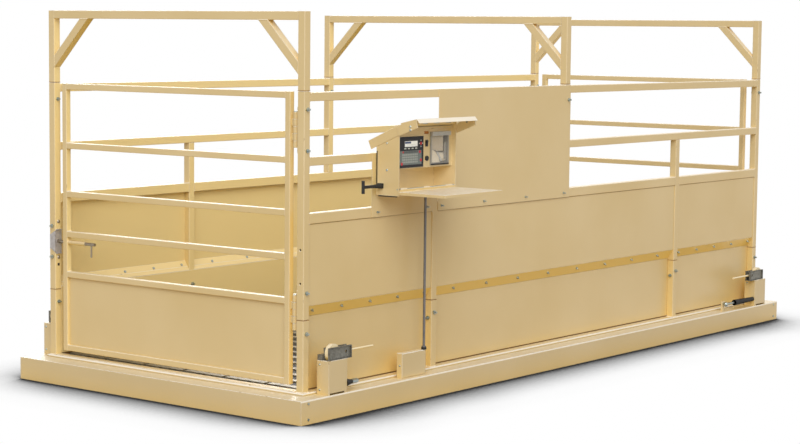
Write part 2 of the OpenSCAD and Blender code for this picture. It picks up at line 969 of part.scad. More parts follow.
module hinge_pins() {
    reach = 2 * knuckle_step + knuckle_h / 2;
    color("silver")
        both_gates()
            for (h = hinge_z)
                union() {
                    rod_z(h - reach, h + reach + 1, -post_x, -hinge_y, pin_r);
                    rod_z(h + reach + 0.5, h + reach + 5, -post_x, -hinge_y, hinge_r - 2);
                }
}

module latch_rod() {
    color("silver")
        union() {
            rod_y(rod_tip - rod_l, rod_tip, -post_x, latch_z, rod_r);
            rod_z(latch_z - handle_drop, latch_z, -post_x, rod_tip - rod_l + handle_in, handle_rod_r);
        }
}

module keeper() {
    f = -post_x - tube / 2;
    difference() {
        union() {
            block(f, -post_x + tube / 2, rail_in - keeper_t, rail_in, latch_z - keeper_half,
                latch_z + keeper_half);
            plate_x(f - keeper_t, f, [[rail_in - keeper_t, latch_z - keeper_half],
                [rail_in + keeper_wrap, latch_z - keeper_half * 0.6],
                [rail_in + keeper_wrap, latch_z + keeper_half * 0.6],
                [rail_in - keeper_t, latch_z + keeper_half]]);
            for (z = [latch_z - keeper_half - 8, latch_z + keeper_half + 3])
                block(f + 4, -post_x + tube / 2 - 4, rail_in - keeper_ear, rail_in, z, z + 5);
            block(f + 4, -post_x + tube / 2 - 4, rail_in - keeper_t, rail_in, latch_z - keeper_half - 8,
                latch_z + keeper_half + 8);
        }
        rod_y(rail_in - keeper_t - 1, rail_in + 1, -post_x, latch_z, keeper_hole);
    }
}

module latch_keepers() {
    color("gray")
        both_gates()
            keeper();
}

module front_gate_frame() {
    gate_frame();
}

module front_gate_sheet() {
    gate_sheet();
}

module front_gate_knuckles() {
    gate_knuckles();
}

module front_latch_rod() {
    latch_rod();
}

module rear_gate_frame() {
    rotate([0, 0, 180])
        gate_frame();
}

module rear_gate_sheet() {
    rotate([0, 0, 180])
        gate_sheet();
}

module rear_gate_knuckles() {
    rotate([0, 0, 180])
        gate_knuckles();
}

module rear_latch_rod() {
    rotate([0, 0, 180])
        latch_rod();
}

// Instrument enclosure
module encl_wall(x) {
    plate_x(x, x + encl_t, [[encl_f, encl_z + encl_t + weld], [encl_b - encl_t - weld,
        encl_z + encl_t + weld],
        [encl_b - encl_t - weld, encl_z + encl_back_h], [encl_f, encl_z + encl_front_h]]);
}

module enclosure_shell() {
    color("tan")
        union() {
            difference() {
                encl_wall(encl_x0);
                rod_x(encl_x0 - 1, encl_x0 + encl_t + 1, shelf_pin_y, shelf_pin_z, small_pin_r + run_clear);
            }
            difference() {
                encl_wall(encl_x1 - encl_t);
                rod_x(encl_x1 - encl_t - 1, encl_x1 + 1, shelf_pin_y, shelf_pin_z, small_pin_r + run_clear);
            }
            block(encl_x0, encl_x1, encl_b - encl_t, encl_b, encl_z + encl_t + weld, encl_z + encl_back_h);
            block(encl_x0, encl_x1, encl_f, encl_b, encl_z, encl_z + encl_t);
            block(encl_x0 + encl_t + weld, encl_x1 - encl_t - weld, board_face + encl_t + weld,
                encl_b - encl_t - weld, board_z - encl_t, board_z);
        }
}

// Roof sheet over the sloped wall tops, with a turned-down lip along both ends
module enclosure_roof() {
    front = encl_d / cos(encl_slope) + 6;
    yf = encl_f + 2;
    yb = encl_b + roof_over * cos(encl_slope);
    top = encl_z + encl_back_h + (roof_gap + roof_t) / cos(encl_slope);
    zf = top + (encl_b - yf) * tan(encl_slope);
    zb = top + (encl_b - yb) * tan(encl_slope);
    mid = (encl_x0 + encl_x1) / 2;
    step = (encl_w - 2 * lid_edge - lid_knuckle_l) / 4;
    color("tan")
        union() {
            difference() {
                union() {
                    translate([0, encl_b, encl_z + encl_back_h])
                        rotate([-encl_slope, 0, 0])
                            block(encl_x0, encl_x1, -front, roof_over, roof_gap, roof_gap + roof_t);
                    for (x = [mid - step, mid + step]) {
                        rod_x(x - lid_knuckle_l / 2, x + lid_knuckle_l / 2, lid_pin_y, lid_pin_z,
                            small_knuckle_r);
                        block(x - lid_knuckle_l / 2, x + lid_knuckle_l / 2, lid_pin_y, encl_f + 2,
                            lid_pin_z - lid_t / 2, lid_pin_z + lid_t / 2);
                    }
                }
                rod_x(encl_x0, encl_x1, lid_pin_y, lid_pin_z, small_pin_r + run_clear);
            }
            for (x = [encl_x0 - roof_gap - roof_t, encl_x1 + roof_gap])
                plate_x(x, x + roof_t, [[yf, zf], [yb, zb],
                    [yb - roof_lip * sin(encl_slope), zb - roof_lip * cos(encl_slope)],
                    [yf, zf - roof_lip / cos(encl_slope)]]);
        }
}

module enclosure_pins() {
    color("silver")
        union() {
            rod_x(encl_x0 - 2, encl_x1 + 2, shelf_pin_y, shelf_pin_z, small_pin_r);
            rod_x(encl_x0 + lid_edge - 4, encl_x1 - lid_edge + 4, lid_pin_y, lid_pin_z, small_pin_r);
        }
}

module instrument_board() {
    r = (bolt_d + bolt_clear) / 2;
    y0 = board_face - 1;
    y1 = board_face + encl_t + 1;
    color("tan")
        difference() {
            block(encl_x0 + encl_t + weld, encl_x1 - encl_t - weld, board_face, board_face + encl_t,
                board_z - encl_t,
                encl_z + encl_front_h - front_recess);
            block(ind_x + 6, ind_x + ind_w - 6, y0, y1, ind_z + 6, ind_z + ind_h - 6);
            block(print_x + 4, print_x + print_w - 4, y0, y1, print_z + 4, print_z + print_h - 14);
            block(switch_x - switch_w / 2 + 2, switch_x + switch_w / 2 - 2, y0, y1,
                switch_z - switch_h / 2 + 2,
                switch_z + switch_h / 2 - 2);
            rod_y(y0, y1, plug_x, plug_z, plug_r - 4);
            block(switch_x - catch_w / 2, switch_x + catch_w / 2, y0, board_face + catch_deep, catch_z,
                catch_z + catch_h);
        }
}

// Lid in its own frame: pin along X at the origin, sheet running out along -Y
module lid_shape() {
    x0 = encl_x0 - roof_gap - 2 * lid_side;
    x1 = encl_x1 + roof_gap + 2 * lid_side;
    difference() {
        union() {
            block(x0, x1, -lid_d, -small_knuckle_r - 1, small_knuckle_r - lid_t, small_knuckle_r);
            plate_x(x0, x1, [[-lid_d - lid_t, small_knuckle_r],
                [-lid_d - lid_t - lid_lip_out, small_knuckle_r - lid_lip],
                [-lid_d - lid_lip_out, small_knuckle_r - lid_lip], [-lid_d, small_knuckle_r]]);
            for (x = [x0, x1 - lid_t])
                plate_x(x, x + lid_t, [[-lid_d, small_knuckle_r], [-lid_d, small_knuckle_r - lid_flange_front],
                    [lid_flange_back, small_knuckle_r - lid_flange_deep],
                    [lid_flange_back, small_knuckle_r - 0.78 * lid_flange_back],
                    [-small_knuckle_r, small_knuckle_r]]);
            for (x = [encl_x0 + lid_edge, (encl_x0 + encl_x1 - lid_knuckle_l) / 2,
                encl_x1 - lid_edge - lid_knuckle_l]) {
                rod_x(x, x + lid_knuckle_l, 0, 0, small_knuckle_r);
                block(x, x + lid_knuckle_l, -small_knuckle_r - 2, 0, small_knuckle_r - lid_t,
                    small_knuckle_r);
            }
        }
        rod_x(x0 - 1, x1 + 1, 0, 0, small_pin_r + run_clear);
    }
}

module enclosure_lid() {
    color("tan")
        translate([0, lid_pin_y, lid_pin_z])
            rotate([-lid_rise, 0, 0])
                lid_shape();
}

// Shelf in front of the walls and wider than they are, hung from a leaf between them
module enclosure_shelf() {
    x0 = encl_x0 - shelf_over;
    x1 = encl_x1 + shelf_over;
    in0 = encl_x0 + encl_t + shelf_clear;
    in1 = encl_x1 - encl_t - shelf_clear;
    y0 = encl_f - 1;
    z1 = shelf_pin_z - shelf_drop;
    z0 = z1 - shelf_lip;
    color("tan")
        difference() {
            union() {
                block(x0, x1, y0 - shelf_d, y0, z1 - shelf_t, z1);
                block(x0, x1, y0 - shelf_d, y0 - shelf_d + shelf_t, z0, z1);
                for (x = [x0, x1 - shelf_t])
                    block(x, x + shelf_t, y0 - shelf_d, y0, z0, z1);
                block(in0, in1, y0 - shelf_t, y0, z1 - shelf_t, shelf_pin_z + shelf_t / 2);
                for (x = [in0 + 20, (in0 + in1 - lid_knuckle_l) / 2, in1 - 20 - lid_knuckle_l]) {
                    rod_x(x, x + lid_knuckle_l, shelf_pin_y, shelf_pin_z, small_knuckle_r);
                    block(x, x + lid_knuckle_l, y0 - 1, shelf_pin_y, shelf_pin_z - shelf_t / 2,
                        shelf_pin_z + shelf_t / 2);
                }
            }
            rod_x(x0 - 1, x1 + 1, shelf_pin_y, shelf_pin_z, small_pin_r + run_clear);
        }
}

module indicator_case() {
    color("dimgray")
        difference() {
            union() {
                block(ind_x, ind_x + ind_w, board_face - ind_out, board_face, ind_z, ind_z + ind_h);
                block(ind_x + 8, ind_x + ind_w - 8, board_face - 1, board_face + ind_back, ind_z + 8,
                    ind_z + ind_h - 8);
            }
            block(ind_x + lcd_in, ind_x + lcd_in + lcd_w, board_face - ind_out - 1,
                board_face - ind_out + face_t,
                ind_z + lcd_up, ind_z + lcd_up + lcd_h);
            block(ind_x + key_in, ind_x + ind_w - key_in, board_face - ind_out - 1,
                board_face - ind_out + face_t,
                ind_z + key_up, ind_z + key_up + key_h);
        }
}

module indicator_display() {
    color("white")
        block(ind_x + lcd_in + weld, ind_x + lcd_in + lcd_w - weld, board_face - ind_out + 0.5,
            board_face - ind_out + face_t, ind_z + lcd_up + weld, ind_z + lcd_up + lcd_h - weld);
}

module indicator_keypad() {
    color("gray")
        block(ind_x + key_in + weld, ind_x + ind_w - key_in - weld, board_face - ind_out,
            board_face - ind_out + face_t,
            ind_z + key_up + weld, ind_z + key_up + key_h - weld);
}

module power_switch() {
    w = switch_w - 8;
    h = switch_h - 10;
    color("black")
        translate([switch_x, board_face + encl_t / 2, switch_z])
            rotate([switch_tip, 0, 0])
                union() {
                    block(-w / 2, w / 2, -encl_t / 2 - 6, encl_t / 2, -h / 2, h / 2);
                    rod_x(-switch_w / 2 + 2.5, switch_w / 2 - 2.5, 0, 0, encl_t / 3);
                }
}

module panel_connector() {
    w = switch_w / 2;
    h = switch_h / 2;
    color("black")
        union() {
            rod_y(board_face - plug_out, board_face, plug_x, plug_z, plug_r);
            rod_y(board_face - 1, board_face + encl_t + 6, plug_x, plug_z, plug_r - 5);
            translate([switch_x, board_face, switch_z])
                difference() {
                    block(-w, w, -2, 0, -h, h);
                    block(-w + 3, w - 3, -3, 1, -h + 3, h - 3);
                }
        }
}

module printer_case() {
    x1 = print_x + print_w;
    z1 = print_z + print_h - 10;
    color("gray")
        difference() {
            union() {
                block(print_x, x1, board_face - ind_out, board_face, print_z, z1);
                block(print_x + 5, x1 - 5, board_face - 1, board_face + print_deep, print_z + 5, z1 - 5);
            }
            block(print_x + print_wall + 4, x1 - print_wall - 4, board_face - ind_out - 1,
                board_face + print_deep - print_wall, print_z + print_wall + 4, z1 - print_wall - 4);
        }
}

module printer_window() {
    x1 = print_x + print_w - print_wall - 4;
    z1 = print_z + print_h - 10 - print_wall - 4;
    color("lightgray")
        block(print_x + print_wall + 4 + weld, x1 - weld, board_face - ind_out + 2, board_face - ind_out + 5,
            print_z + print_wall + 4 + weld, z1 - weld);
}

module paper_roll() {
    color("white")
        rod_x(print_x + print_wall + 6, print_x + print_w - print_wall - 6, board_face + paper_r + 2,
            print_z + print_wall + 4 + paper_r, paper_r);
}

// Rubber strap latch on the left end of the enclosure
module strap_anchor() {
    g = strap_h / 2 + 0.5;
    x = encl_x0 - anchor_t - strap_w / 2 - 2;
    y = anchor_y - anchor_w / 2 + strap_w;
    color("black")
        difference() {
            union() {
                block(encl_x0 - anchor_t, encl_x0, anchor_y - anchor_w / 2, anchor_y + anchor_w / 2,
                    anchor_z - anchor_h, anchor_z + anchor_h);
                for (s = [-1, 1])
                    block(x - strap_w / 2, encl_x0 - anchor_t + 1, y - strap_w, y + strap_w,
                        anchor_z + (s < 0 ? -anchor_h : g), anchor_z + (s < 0 ? -g : anchor_h));
            }
            rod_z(anchor_z - anchor_h - 1, anchor_z + anchor_h + 1, x, y, strap_pin_r + run_clear);
        }
}

module strap_latch() {
    x = encl_x0 - anchor_t - strap_w / 2 - 2;
    y = anchor_y - anchor_w / 2 + strap_w;
    color("black")
        union() {
            rod_z(anchor_z - anchor_h, anchor_z + anchor_h, x, y, strap_pin_r);
            block(x - strap_l + 10, x, y - strap_w / 2, y + strap_w / 2, anchor_z - strap_h / 2,
                anchor_z + strap_h / 2);
            block(x - strap_l, x - strap_l + bar_w, y - bar_w / 2, y + bar_w / 2, anchor_z - bar_h / 2,
                anchor_z + bar_h / 2);
        }
}

// Conduit and junction box
module conduit() {
    z0 = base_h + jbox_h;
    color("gray")
        union() {
            rod_z(z0 + 1, encl_z - 1, conduit_x, conduit_y, conduit_r);
            rod_z(z0, z0 + fitting_h, conduit_x, conduit_y, fitting_r);
            rod_z(encl_z - fitting_h, encl_z, conduit_x, conduit_y, fitting_r);
        }
}

module junction_box() {
    x1 = jbox_x0 + jbox_w;
    y0 = -half_w + jbox_edge;
    color("tan")
        union() {
            block(jbox_x0, x1, y0 + jbox_lid, y0 + jbox_d, base_h, base_h + jbox_h);
            block(jbox_x0 + 2, x1 - 2, y0, y0 + jbox_lid + 1, base_h + 2, base_h + jbox_h - 2);
        }
}

// Corner locks
module lock_housing(hub_in) {
    x1 = lock_x + lock_l;
    y1 = lock_y + lock_d;
    w = lock_wall;
    difference() {
        block(lock_x, x1, lock_y, y1, base_h, lock_top);
        block(lock_x + w, x1 - w, lock_y + w, y1 - w, base_h - 1, lock_top - w);
        block(pivot_x + hub_in - slot_half, pivot_x + hub_in + slot_half, cam_y - cam_w / 2 - 2,
            cam_y + cam_w / 2 + 2, lock_top - w - 1, lock_top + 1);
        block(lock_x + 12, x1 - 20, lock_y - 1, lock_y + w + 1, base_h - 1, base_h + 10);
    }
}

// The two bumper corners are near front and far rear; the other two have check rods
module bumper_corners() {
    both_gates()
        children();
}

module rod_corners() {
    both_gates()
        mirror([1, 0, 0])
            translate([rod_shift, 0, 0])
                children();
}

module check_stand() {
    y = check_y + ball_r + stand_gap;
    difference() {
        block(check_eye - ball_r, check_eye + ball_r, y, y + stand_t, base_h, check_z + ball_r);
        rod_y(y - 1, y + stand_t + 1, check_eye, check_z, check_r + 0.3);
    }
}

module lock_housings() {
    color("tan")
        union() {
            bumper_corners()
                lock_housing(0);
            rod_corners()
                union() {
                    lock_housing(hub_rod_in);
                    check_stand();
                }
        }
}

// Open channel: a recessed web with a rim all round, a floor and a back plate
module lock_hub() {
    w = hub_wall;
    x1 = hub_x + hub_l;
    back = hub_y + hub_d - w;
    union() {
        difference() {
            block(hub_x, x1, hub_web + w + weld, back - weld, lock_top, lock_top + w);
            block(pivot_x - slot_half, pivot_x + slot_half, cam_y - cam_w / 2 - 0.8, cam_y + cam_w / 2 + 0.8,
                lock_top - 1, lock_top + w + 1);
        }
        difference() {
            block(hub_x, x1, hub_y, hub_web + w, lock_top, lock_top + hub_h);
            block(hub_x + w, x1 - w, hub_y - 1, hub_web, lock_top + w, lock_top + hub_h - w);
            rod_y(hub_web + 2, hub_web + w + 1, pivot_x, pivot_z, pivot_r + run_clear);
            rod_y(hub_web - 1, hub_web + w + 1, x1 - 42, pivot_z, pivot_r);
        }
        difference() {
            block(hub_x, x1, back, back + w, lock_top, lock_top + hub_h);
            rod_y(back - 1, back + w + 1, pivot_x, pivot_z, pivot_r + run_clear);
        }
    }
}

module lock_hub_set() {
    union() {
        lock_hub();
        block(lock_x, lock_x + block_l, hub_y + hub_d + weld, hub_y + hub_d + weld + block_w - lock_wall,
            lock_top, lock_top + block_h);
    }
}

module lock_hubs() {
    color("gray") {
        bumper_corners()
            lock_hub_set();
        rod_corners()
            translate([hub_rod_in, 0, 0])
                lock_hub_set();
    }
}

module lock_lever() {
    color("tan")
        union() {
            rod_y(cam_y - cam_w / 2, cam_y + cam_w / 2, pivot_x, pivot_z, cam_r);
            rod_y(hub_web + 2 + weld, hub_y + hub_d + 3 * weld - 1, pivot_x, pivot_z, pivot_r);
            rod_x(pivot_x, pivot_x + handle_l, cam_y, pivot_z, handle_r);
        }
}

module lever_near_front() {
    lock_lever();
}

module lever_near_rear() {
    mirror([1, 0, 0])
        translate([rod_shift + hub_rod_in, 0, 0])
            lock_lever();
}

module lever_far_front() {
    mirror([0, 1, 0])
        translate([rod_shift + hub_rod_in, 0, 0])
            lock_lever();
}

module lever_far_rear() {
    rotate([0, 0, 180])
        lock_lever();
}

// Check rod with a rod end and its pin, and the nut on the end of each bumper
module check_rods() {
    color("silver")
        union() {
            rod_corners() {
                difference() {
                    union() {
                        rod_x(check_boot, check_eye, check_y, check_z, check_r);
                        translate([check_eye, check_y, check_z])
                            sphere(ball_r);
                    }
                    rod_y(check_y - ball_r - 1, check_y + ball_r + 1, check_eye, check_z, check_r + 0.3);
                }
                rod_y(check_y - ball_r, check_y + ball_r + stand_gap + stand_t, check_eye, check_z, check_r);
            }
            bumper_corners()
                translate([lock_x + lock_l + bumper_l, check_y, check_z])
                    rotate([0, 90, 0])
                        hex(nut_af, nut_l);
        }
}

module rubber_boots() {
    color("black") {
        rod_corners()
            translate([lock_x + lock_l, check_y, check_z])
                rotate([0, 90, 0])
                    cylinder(r1 = boot_tip_r, r2 = boot_r, h = boot_l);
        bumper_corners()
            translate([lock_x + lock_l, check_y, check_z])
                rotate([0, 90, 0])
                    cylinder(r1 = bumper_r, r2 = bumper_tip_r, h = bumper_l);
    }
}

base_side_beams();
base_end_beams();
base_cross_members();
load_cells();
platform_frame();
deck_plate();
deck_cleats();
threshold_strips();
stub_posts();
post_spigots();
rack_posts();
rack_rails();
upper_sheets();
ledge_strips();
ledge_screws();
lower_panels();
operator_panel();
instrument_backplate();
arch_front();
arch_middle();
arch_rear();
frame_bolts();
front_gate_frame();
front_gate_sheet();
front_gate_knuckles();
front_latch_rod();
rear_gate_frame();
rear_gate_sheet();
rear_gate_knuckles();
rear_latch_rod();
hinge_brackets();
hinge_pins();
latch_keepers();
enclosure_shell();
enclosure_roof();
enclosure_pins();
instrument_board();
enclosure_lid();
enclosure_shelf();
indicator_case();
indicator_display();
indicator_keypad();
power_switch();
panel_connector();
printer_case();
printer_window();
paper_roll();
strap_anchor();
strap_latch();
conduit();
junction_box();
lock_housings();
lock_hubs();
lever_near_front();
lever_near_rear();
lever_far_front();
lever_far_rear();
check_rods();
rubber_boots();
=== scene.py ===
import json
import math

import bmesh
import bpy
from mathutils import Matrix, Vector


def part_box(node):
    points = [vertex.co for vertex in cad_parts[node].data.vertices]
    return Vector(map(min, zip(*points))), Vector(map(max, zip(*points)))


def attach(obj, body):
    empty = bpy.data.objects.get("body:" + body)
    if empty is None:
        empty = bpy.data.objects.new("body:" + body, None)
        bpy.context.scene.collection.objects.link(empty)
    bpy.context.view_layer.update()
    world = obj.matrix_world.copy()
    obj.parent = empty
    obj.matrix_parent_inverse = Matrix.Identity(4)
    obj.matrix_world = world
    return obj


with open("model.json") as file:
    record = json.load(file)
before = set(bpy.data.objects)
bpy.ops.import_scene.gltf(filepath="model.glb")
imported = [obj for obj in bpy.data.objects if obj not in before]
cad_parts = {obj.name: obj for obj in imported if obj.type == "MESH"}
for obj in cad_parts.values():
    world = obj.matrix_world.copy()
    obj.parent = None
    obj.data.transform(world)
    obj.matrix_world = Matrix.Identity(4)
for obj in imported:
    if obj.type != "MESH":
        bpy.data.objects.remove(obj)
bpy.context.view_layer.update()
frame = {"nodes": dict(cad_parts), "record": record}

# Camera
# A long lens at head height, off the near left corner of the crate, as in the photograph.
# The picture is 800 by 444 pixels, and its focal length in pixels gives the lens.
PICTURE_WIDTH = 800
FOCAL_PIXELS = 2003.7
CAMERA_PLACE = (-11.336, -8.514, 2.236)
yaw, pitch, roll = (math.radians(a) for a in (38.059, -5.451, 0.586))
ahead = Vector((math.cos(yaw) * math.cos(pitch), math.sin(yaw) * math.cos(pitch), math.sin(pitch)))
level = Vector((math.sin(yaw), -math.cos(yaw), 0))
over = level.cross(ahead)
right = math.cos(roll) * level + math.sin(roll) * over
up = math.cos(roll) * over - math.sin(roll) * level
camera = bpy.data.objects.new("photo_camera", bpy.data.cameras.new("photo_camera"))
camera.data.sensor_fit = "HORIZONTAL"
camera.data.lens = FOCAL_PIXELS / PICTURE_WIDTH * camera.data.sensor_width
camera.data.clip_end = 200
turned = Matrix((right, up, -ahead)).transposed().to_4x4()
camera.matrix_world = Matrix.Translation(CAMERA_PLACE) @ turned
bpy.context.scene.collection.objects.link(camera)
bpy.context.scene.camera = camera

# Base frame
# Folded steel channel in a low rectangle with five cross members under the platform.
# Welded, then sprayed with gloss enamel, so the faces are smooth and the edges catch the light.
BLEND = {"data_type": "RGBA"}
TIMES = {"operation": "MULTIPLY"}


# An sRGB hex code as linear colour.
def linear(code):
    parts = [int(code[i:i + 2], 16) / 255 for i in (1, 3, 5)]
    return [p / 12.92 if p <= 0.04045 else ((p + 0.055) / 1.055) ** 2.4 for p in parts] + [1]


# A node with its settings, and its inputs as links or values.
def add(tree, kind, settings=None, inputs=None):
    node = tree.nodes.new(kind)
    for key, value in (settings or {}).items():
        setattr(node, key, value)
    for key, value in (inputs or {}).items():
        if isinstance(value, bpy.types.NodeSocket):
            tree.links.new(value, node.inputs[key])
        else:
            node.inputs[key].default_value = value
    return node


# A new finish with its constant values, and the place on the piece that its patterns read.
def finish(name, **constants):
    made = bpy.data.materials.new(name)
    made.use_nodes = True
    shader = made.node_tree.nodes["Principled BSDF"]
    for key, value in constants.items():
        shader.inputs[key.replace("_", " ").title().replace("Ior", "IOR")].default_value = value
    where = add(made.node_tree, "ShaderNodeTexCoord").outputs["Object"]
    return made, made.node_tree, shader, where


# Colours laid one over another, each by its share.
def coat(tree, shader, colour, layers):
    for share, code in layers:
        colour = add(tree, "ShaderNodeMix", BLEND, {0: share, 6: colour, 7: linear(code)}).outputs[2]
    tree.links.new(colour, shader.inputs["Base Color"])


# The finish of one or more solids of the part.
def dress(material, *nodes):
    for node in nodes:
        for slot in frame["nodes"][node].material_slots:
            slot.material = material


# Gloss enamel sprayed on steel: an even beige with faint cloudy patches, a slight orange peel, top faces
# paler with dust and with painted light from above, painted warm bounce light on faces turned down, in
# recesses and on faces turned to the pen's middle, a near-white painted highlight on edges that turn upward,
# and a few chips along the edges. On sheet the metal itself is a little wavy, which shows only in the gloss.
# The peel is drawn 9 mm wide, coarser than the real 2 mm, so that it shows at all.
def enamel(name, wave_mm, wave_depth_mm, round_mm, low="#D3BC8A", high="#D9C497", dust_and_light_most=0.5,
           bounce_below_code="#F0CE70", recess_bounce_code="#EACA7A", rubbed_top=None):
    made, tree, shader, where = finish(name, ior=1.5, specular_ior_level=0.5)
    clouds = add(tree, "ShaderNodeTexNoise", None, {"Vector": where, "Scale": 1000 / 700, "Detail": 3})
    tint = add(tree, "ShaderNodeValToRGB", None, {"Fac": clouds.outputs["Fac"]})
    for stop, at, code in zip(tint.color_ramp.elements, (0.32, 0.68), (low, high)):
        stop.position = at
        stop.color = linear(code)
    facing = add(tree, "ShaderNodeNewGeometry")
    split = add(tree, "ShaderNodeSeparateXYZ", None, {"Vector": facing.outputs["Normal"]})
    place = add(tree, "ShaderNodeSeparateXYZ", None, {"Vector": where})

    # Up-facing faces turn paler: partly dust, partly painted light from above.
    speck = add(tree, "ShaderNodeTexNoise", None, {"Vector": where, "Scale": 1000 / 24, "Detail": 4})
    upward = add(tree, "ShaderNodeMapRange", None,
                 {"Value": split.outputs["Z"], "From Min": 0.25, "From Max": 0.95, "To Max": dust_and_light_most})
    dust_and_top_light = add(tree, "ShaderNodeMath", TIMES, {0: upward.outputs["Result"], 1: speck.outputs["Fac"]})
    # Faces turned down take the under colour: painted warm bounce light from below.
    under = add(tree, "ShaderNodeMapRange", None,
                {"Value": split.outputs["Z"], "From Min": -0.2, "From Max": -0.6, "To Max": 0.85})
    # Where other surfaces are close by, the colour moves toward the recess colour: painted bounce light in
    # recesses.
    hidden = add(tree, "ShaderNodeAmbientOcclusion", {"samples": 4}, {"Distance": 0.3})
    painted_recess_bounce = add(tree, "ShaderNodeMapRange", None,
                 {"Value": hidden.outputs["AO"], "From Min": 0.7, "From Max": 0.25, "To Max": 0.8})
    # Faces turned toward the pen's middle are mixed toward a pale yellow: painted light on the inner faces.
    inward = add(tree, "ShaderNodeMath", TIMES, {0: split.outputs["Y"], 1: place.outputs["Y"]})
    inside = add(tree, "ShaderNodeMapRange", None,
                 {"Value": inward.outputs["Value"], "From Min": -0.5, "From Max": -0.9})

    rounded = add(tree, "ShaderNodeBevel", {"samples": 4}, {"Radius": round_mm / 1000})
    bend = add(tree, "ShaderNodeVectorMath", {"operation": "DOT_PRODUCT"},
               {0: rounded.outputs["Normal"], 1: facing.outputs["True Normal"]})
    edge = add(tree, "ShaderNodeMapRange", None,
               {"Value": bend.outputs["Value"], "From Min": 0.998, "From Max": 0.955})
    fold = add(tree, "ShaderNodeSeparateXYZ", None, {"Vector": rounded.outputs["Normal"]})
    # Rounded edges that turn upward get a near-white painted highlight; chips of darker primer follow all
    # edges.
    upturned_edge = add(tree, "ShaderNodeMapRange", None,
                 {"Value": fold.outputs["Z"], "From Min": 0.04, "From Max": 0.22, "To Min": 0.3})
    painted_edge_highlight = add(tree, "ShaderNodeMath", TIMES, {0: edge.outputs["Result"], 1: upturned_edge.outputs["Result"]})
    flaws = add(tree, "ShaderNodeTexNoise", None, {"Vector": where, "Scale": 1000 / 60, "Detail": 5})
    chip = add(tree, "ShaderNodeMapRange", None,
               {"Value": flaws.outputs["Fac"], "From Min": 0.66, "From Max": 0.72})
    chipped = add(tree, "ShaderNodeMath", TIMES, {0: chip.outputs["Result"], 1: edge.outputs["Result"]})
    layers = [(dust_and_top_light.outputs["Value"], "#F4F0E8"), (under.outputs["Result"], bounce_below_code),
              (painted_recess_bounce.outputs["Result"], recess_bounce_code), (inside.outputs["Result"], "#F0D89A"),
              (painted_edge_highlight.outputs["Value"], "#FFFCF6"), (chipped.outputs["Value"], "#8E7B57")]
    # A near-white painted highlight band just below the given top height, on upright faces.
    if rubbed_top:
        high_up = add(tree, "ShaderNodeMapRange", None,
                      {"Value": place.outputs["Z"], "From Min": rubbed_top - 0.011,
                       "From Max": rubbed_top - 0.006, "To Max": 0.9})
        upright = add(tree, "ShaderNodeMapRange", None,
                      {"Value": split.outputs["Z"], "From Min": 0.6, "From Max": 0.3})
        painted_top_line = add(tree, "ShaderNodeMath", TIMES, {0: high_up.outputs["Result"], 1: upright.outputs["Result"]})
        layers.append((painted_top_line.outputs["Value"], "#FFFCF6"))
    coat(tree, shader, tint.outputs["Color"], layers)

    gloss = add(tree, "ShaderNodeMapRange", None,
                {"Value": speck.outputs["Fac"], "To Min": 0.26, "To Max": 0.42})
    tree.links.new(gloss.outputs["Result"], shader.inputs["Roughness"])
    wave = add(tree, "ShaderNodeTexNoise", None, {"Vector": where, "Scale": 1000 / wave_mm, "Detail": 1})
    waved = add(tree, "ShaderNodeBump", None,
                {"Strength": 0.6, "Distance": wave_depth_mm / 1000, "Height": wave.outputs["Fac"],
                 "Normal": rounded.outputs["Normal"]})
    peel = add(tree, "ShaderNodeTexNoise", None, {"Vector": where, "Scale": 1000 / 9, "Detail": 1})
    skin = add(tree, "ShaderNodeBump", None,
               {"Strength": 0.25, "Distance": 0.0002, "Height": peel.outputs["Fac"],
                "Normal": waved.outputs["Normal"]})
    tree.links.new(skin.outputs["Normal"], shader.inputs["Normal"])
    return made


CHANNEL = (500, 0.8, 5.5, "#CEBB92", "#D4C29D")
enamel_on_channel = enamel("gloss_enamel_on_channel", *CHANNEL)
dress(enamel_on_channel, "base_end_beams", "base_cross_members", "threshold_strips")

# A near-white painted highlight runs along the top of the upright faces of the side beams and the platform.
for node in ("base_side_beams", "platform_frame"):
    dress(enamel("rubbed_enamel_on_" + node, *CHANNEL, rubbed_top=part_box(node)[1][2]), node)

# Load cells
# Four shear beams that carry the platform, bolted to the cross members.
# They are nickel plated alloy steel, machined bright, with fine grey patches in the gloss.


# Two near colours in soft patches, which may also vary the gloss.
def two_tone(name, low, high, patch_mm, detail, gloss=None, **constants):
    made, tree, shader, where = finish(name, **constants)
    patches = add(tree, "ShaderNodeTexNoise", None,
                  {"Vector": where, "Scale": 1000 / patch_mm, "Detail": detail}).outputs["Fac"]
    coat(tree, shader, linear(low), [(patches, high)])
    if gloss:
        varied = add(tree, "ShaderNodeMapRange", None,
                     {"Value": patches, "To Min": gloss[0], "To Max": gloss[1]})
        tree.links.new(varied.outputs["Result"], shader.inputs["Roughness"])
    return made


plated_steel = two_tone("nickel_plated_steel", "#A9A69D", "#C9C6BC", 6, 4, (0.25, 0.5), metallic=1.0)
dress(plated_steel, "load_cells")

# Deck
# Steel deck plate with a black grip coating, worn to a dull sheen where animals walk.
# The grit of the coating is drawn 5 mm wide, coarser than the real 1 mm.
grip = two_tone("black_grip_coating", "#1B1A18", "#3A3732", 350, 5, (0.8, 0.5), specular_ior_level=0.35)
tree = grip.node_tree
where = tree.nodes["Texture Coordinate"].outputs["Object"]
grit = add(tree, "ShaderNodeTexVoronoi", None, {"Vector": where, "Scale": 1000 / 5})
rough = add(tree, "ShaderNodeBump", None,
            {"Strength": 0.7, "Distance": 0.001, "Height": grit.outputs["Distance"]})
tree.links.new(rough.outputs["Normal"], tree.nodes["Principled BSDF"].inputs["Normal"])
dress(grip, "deck_plate")

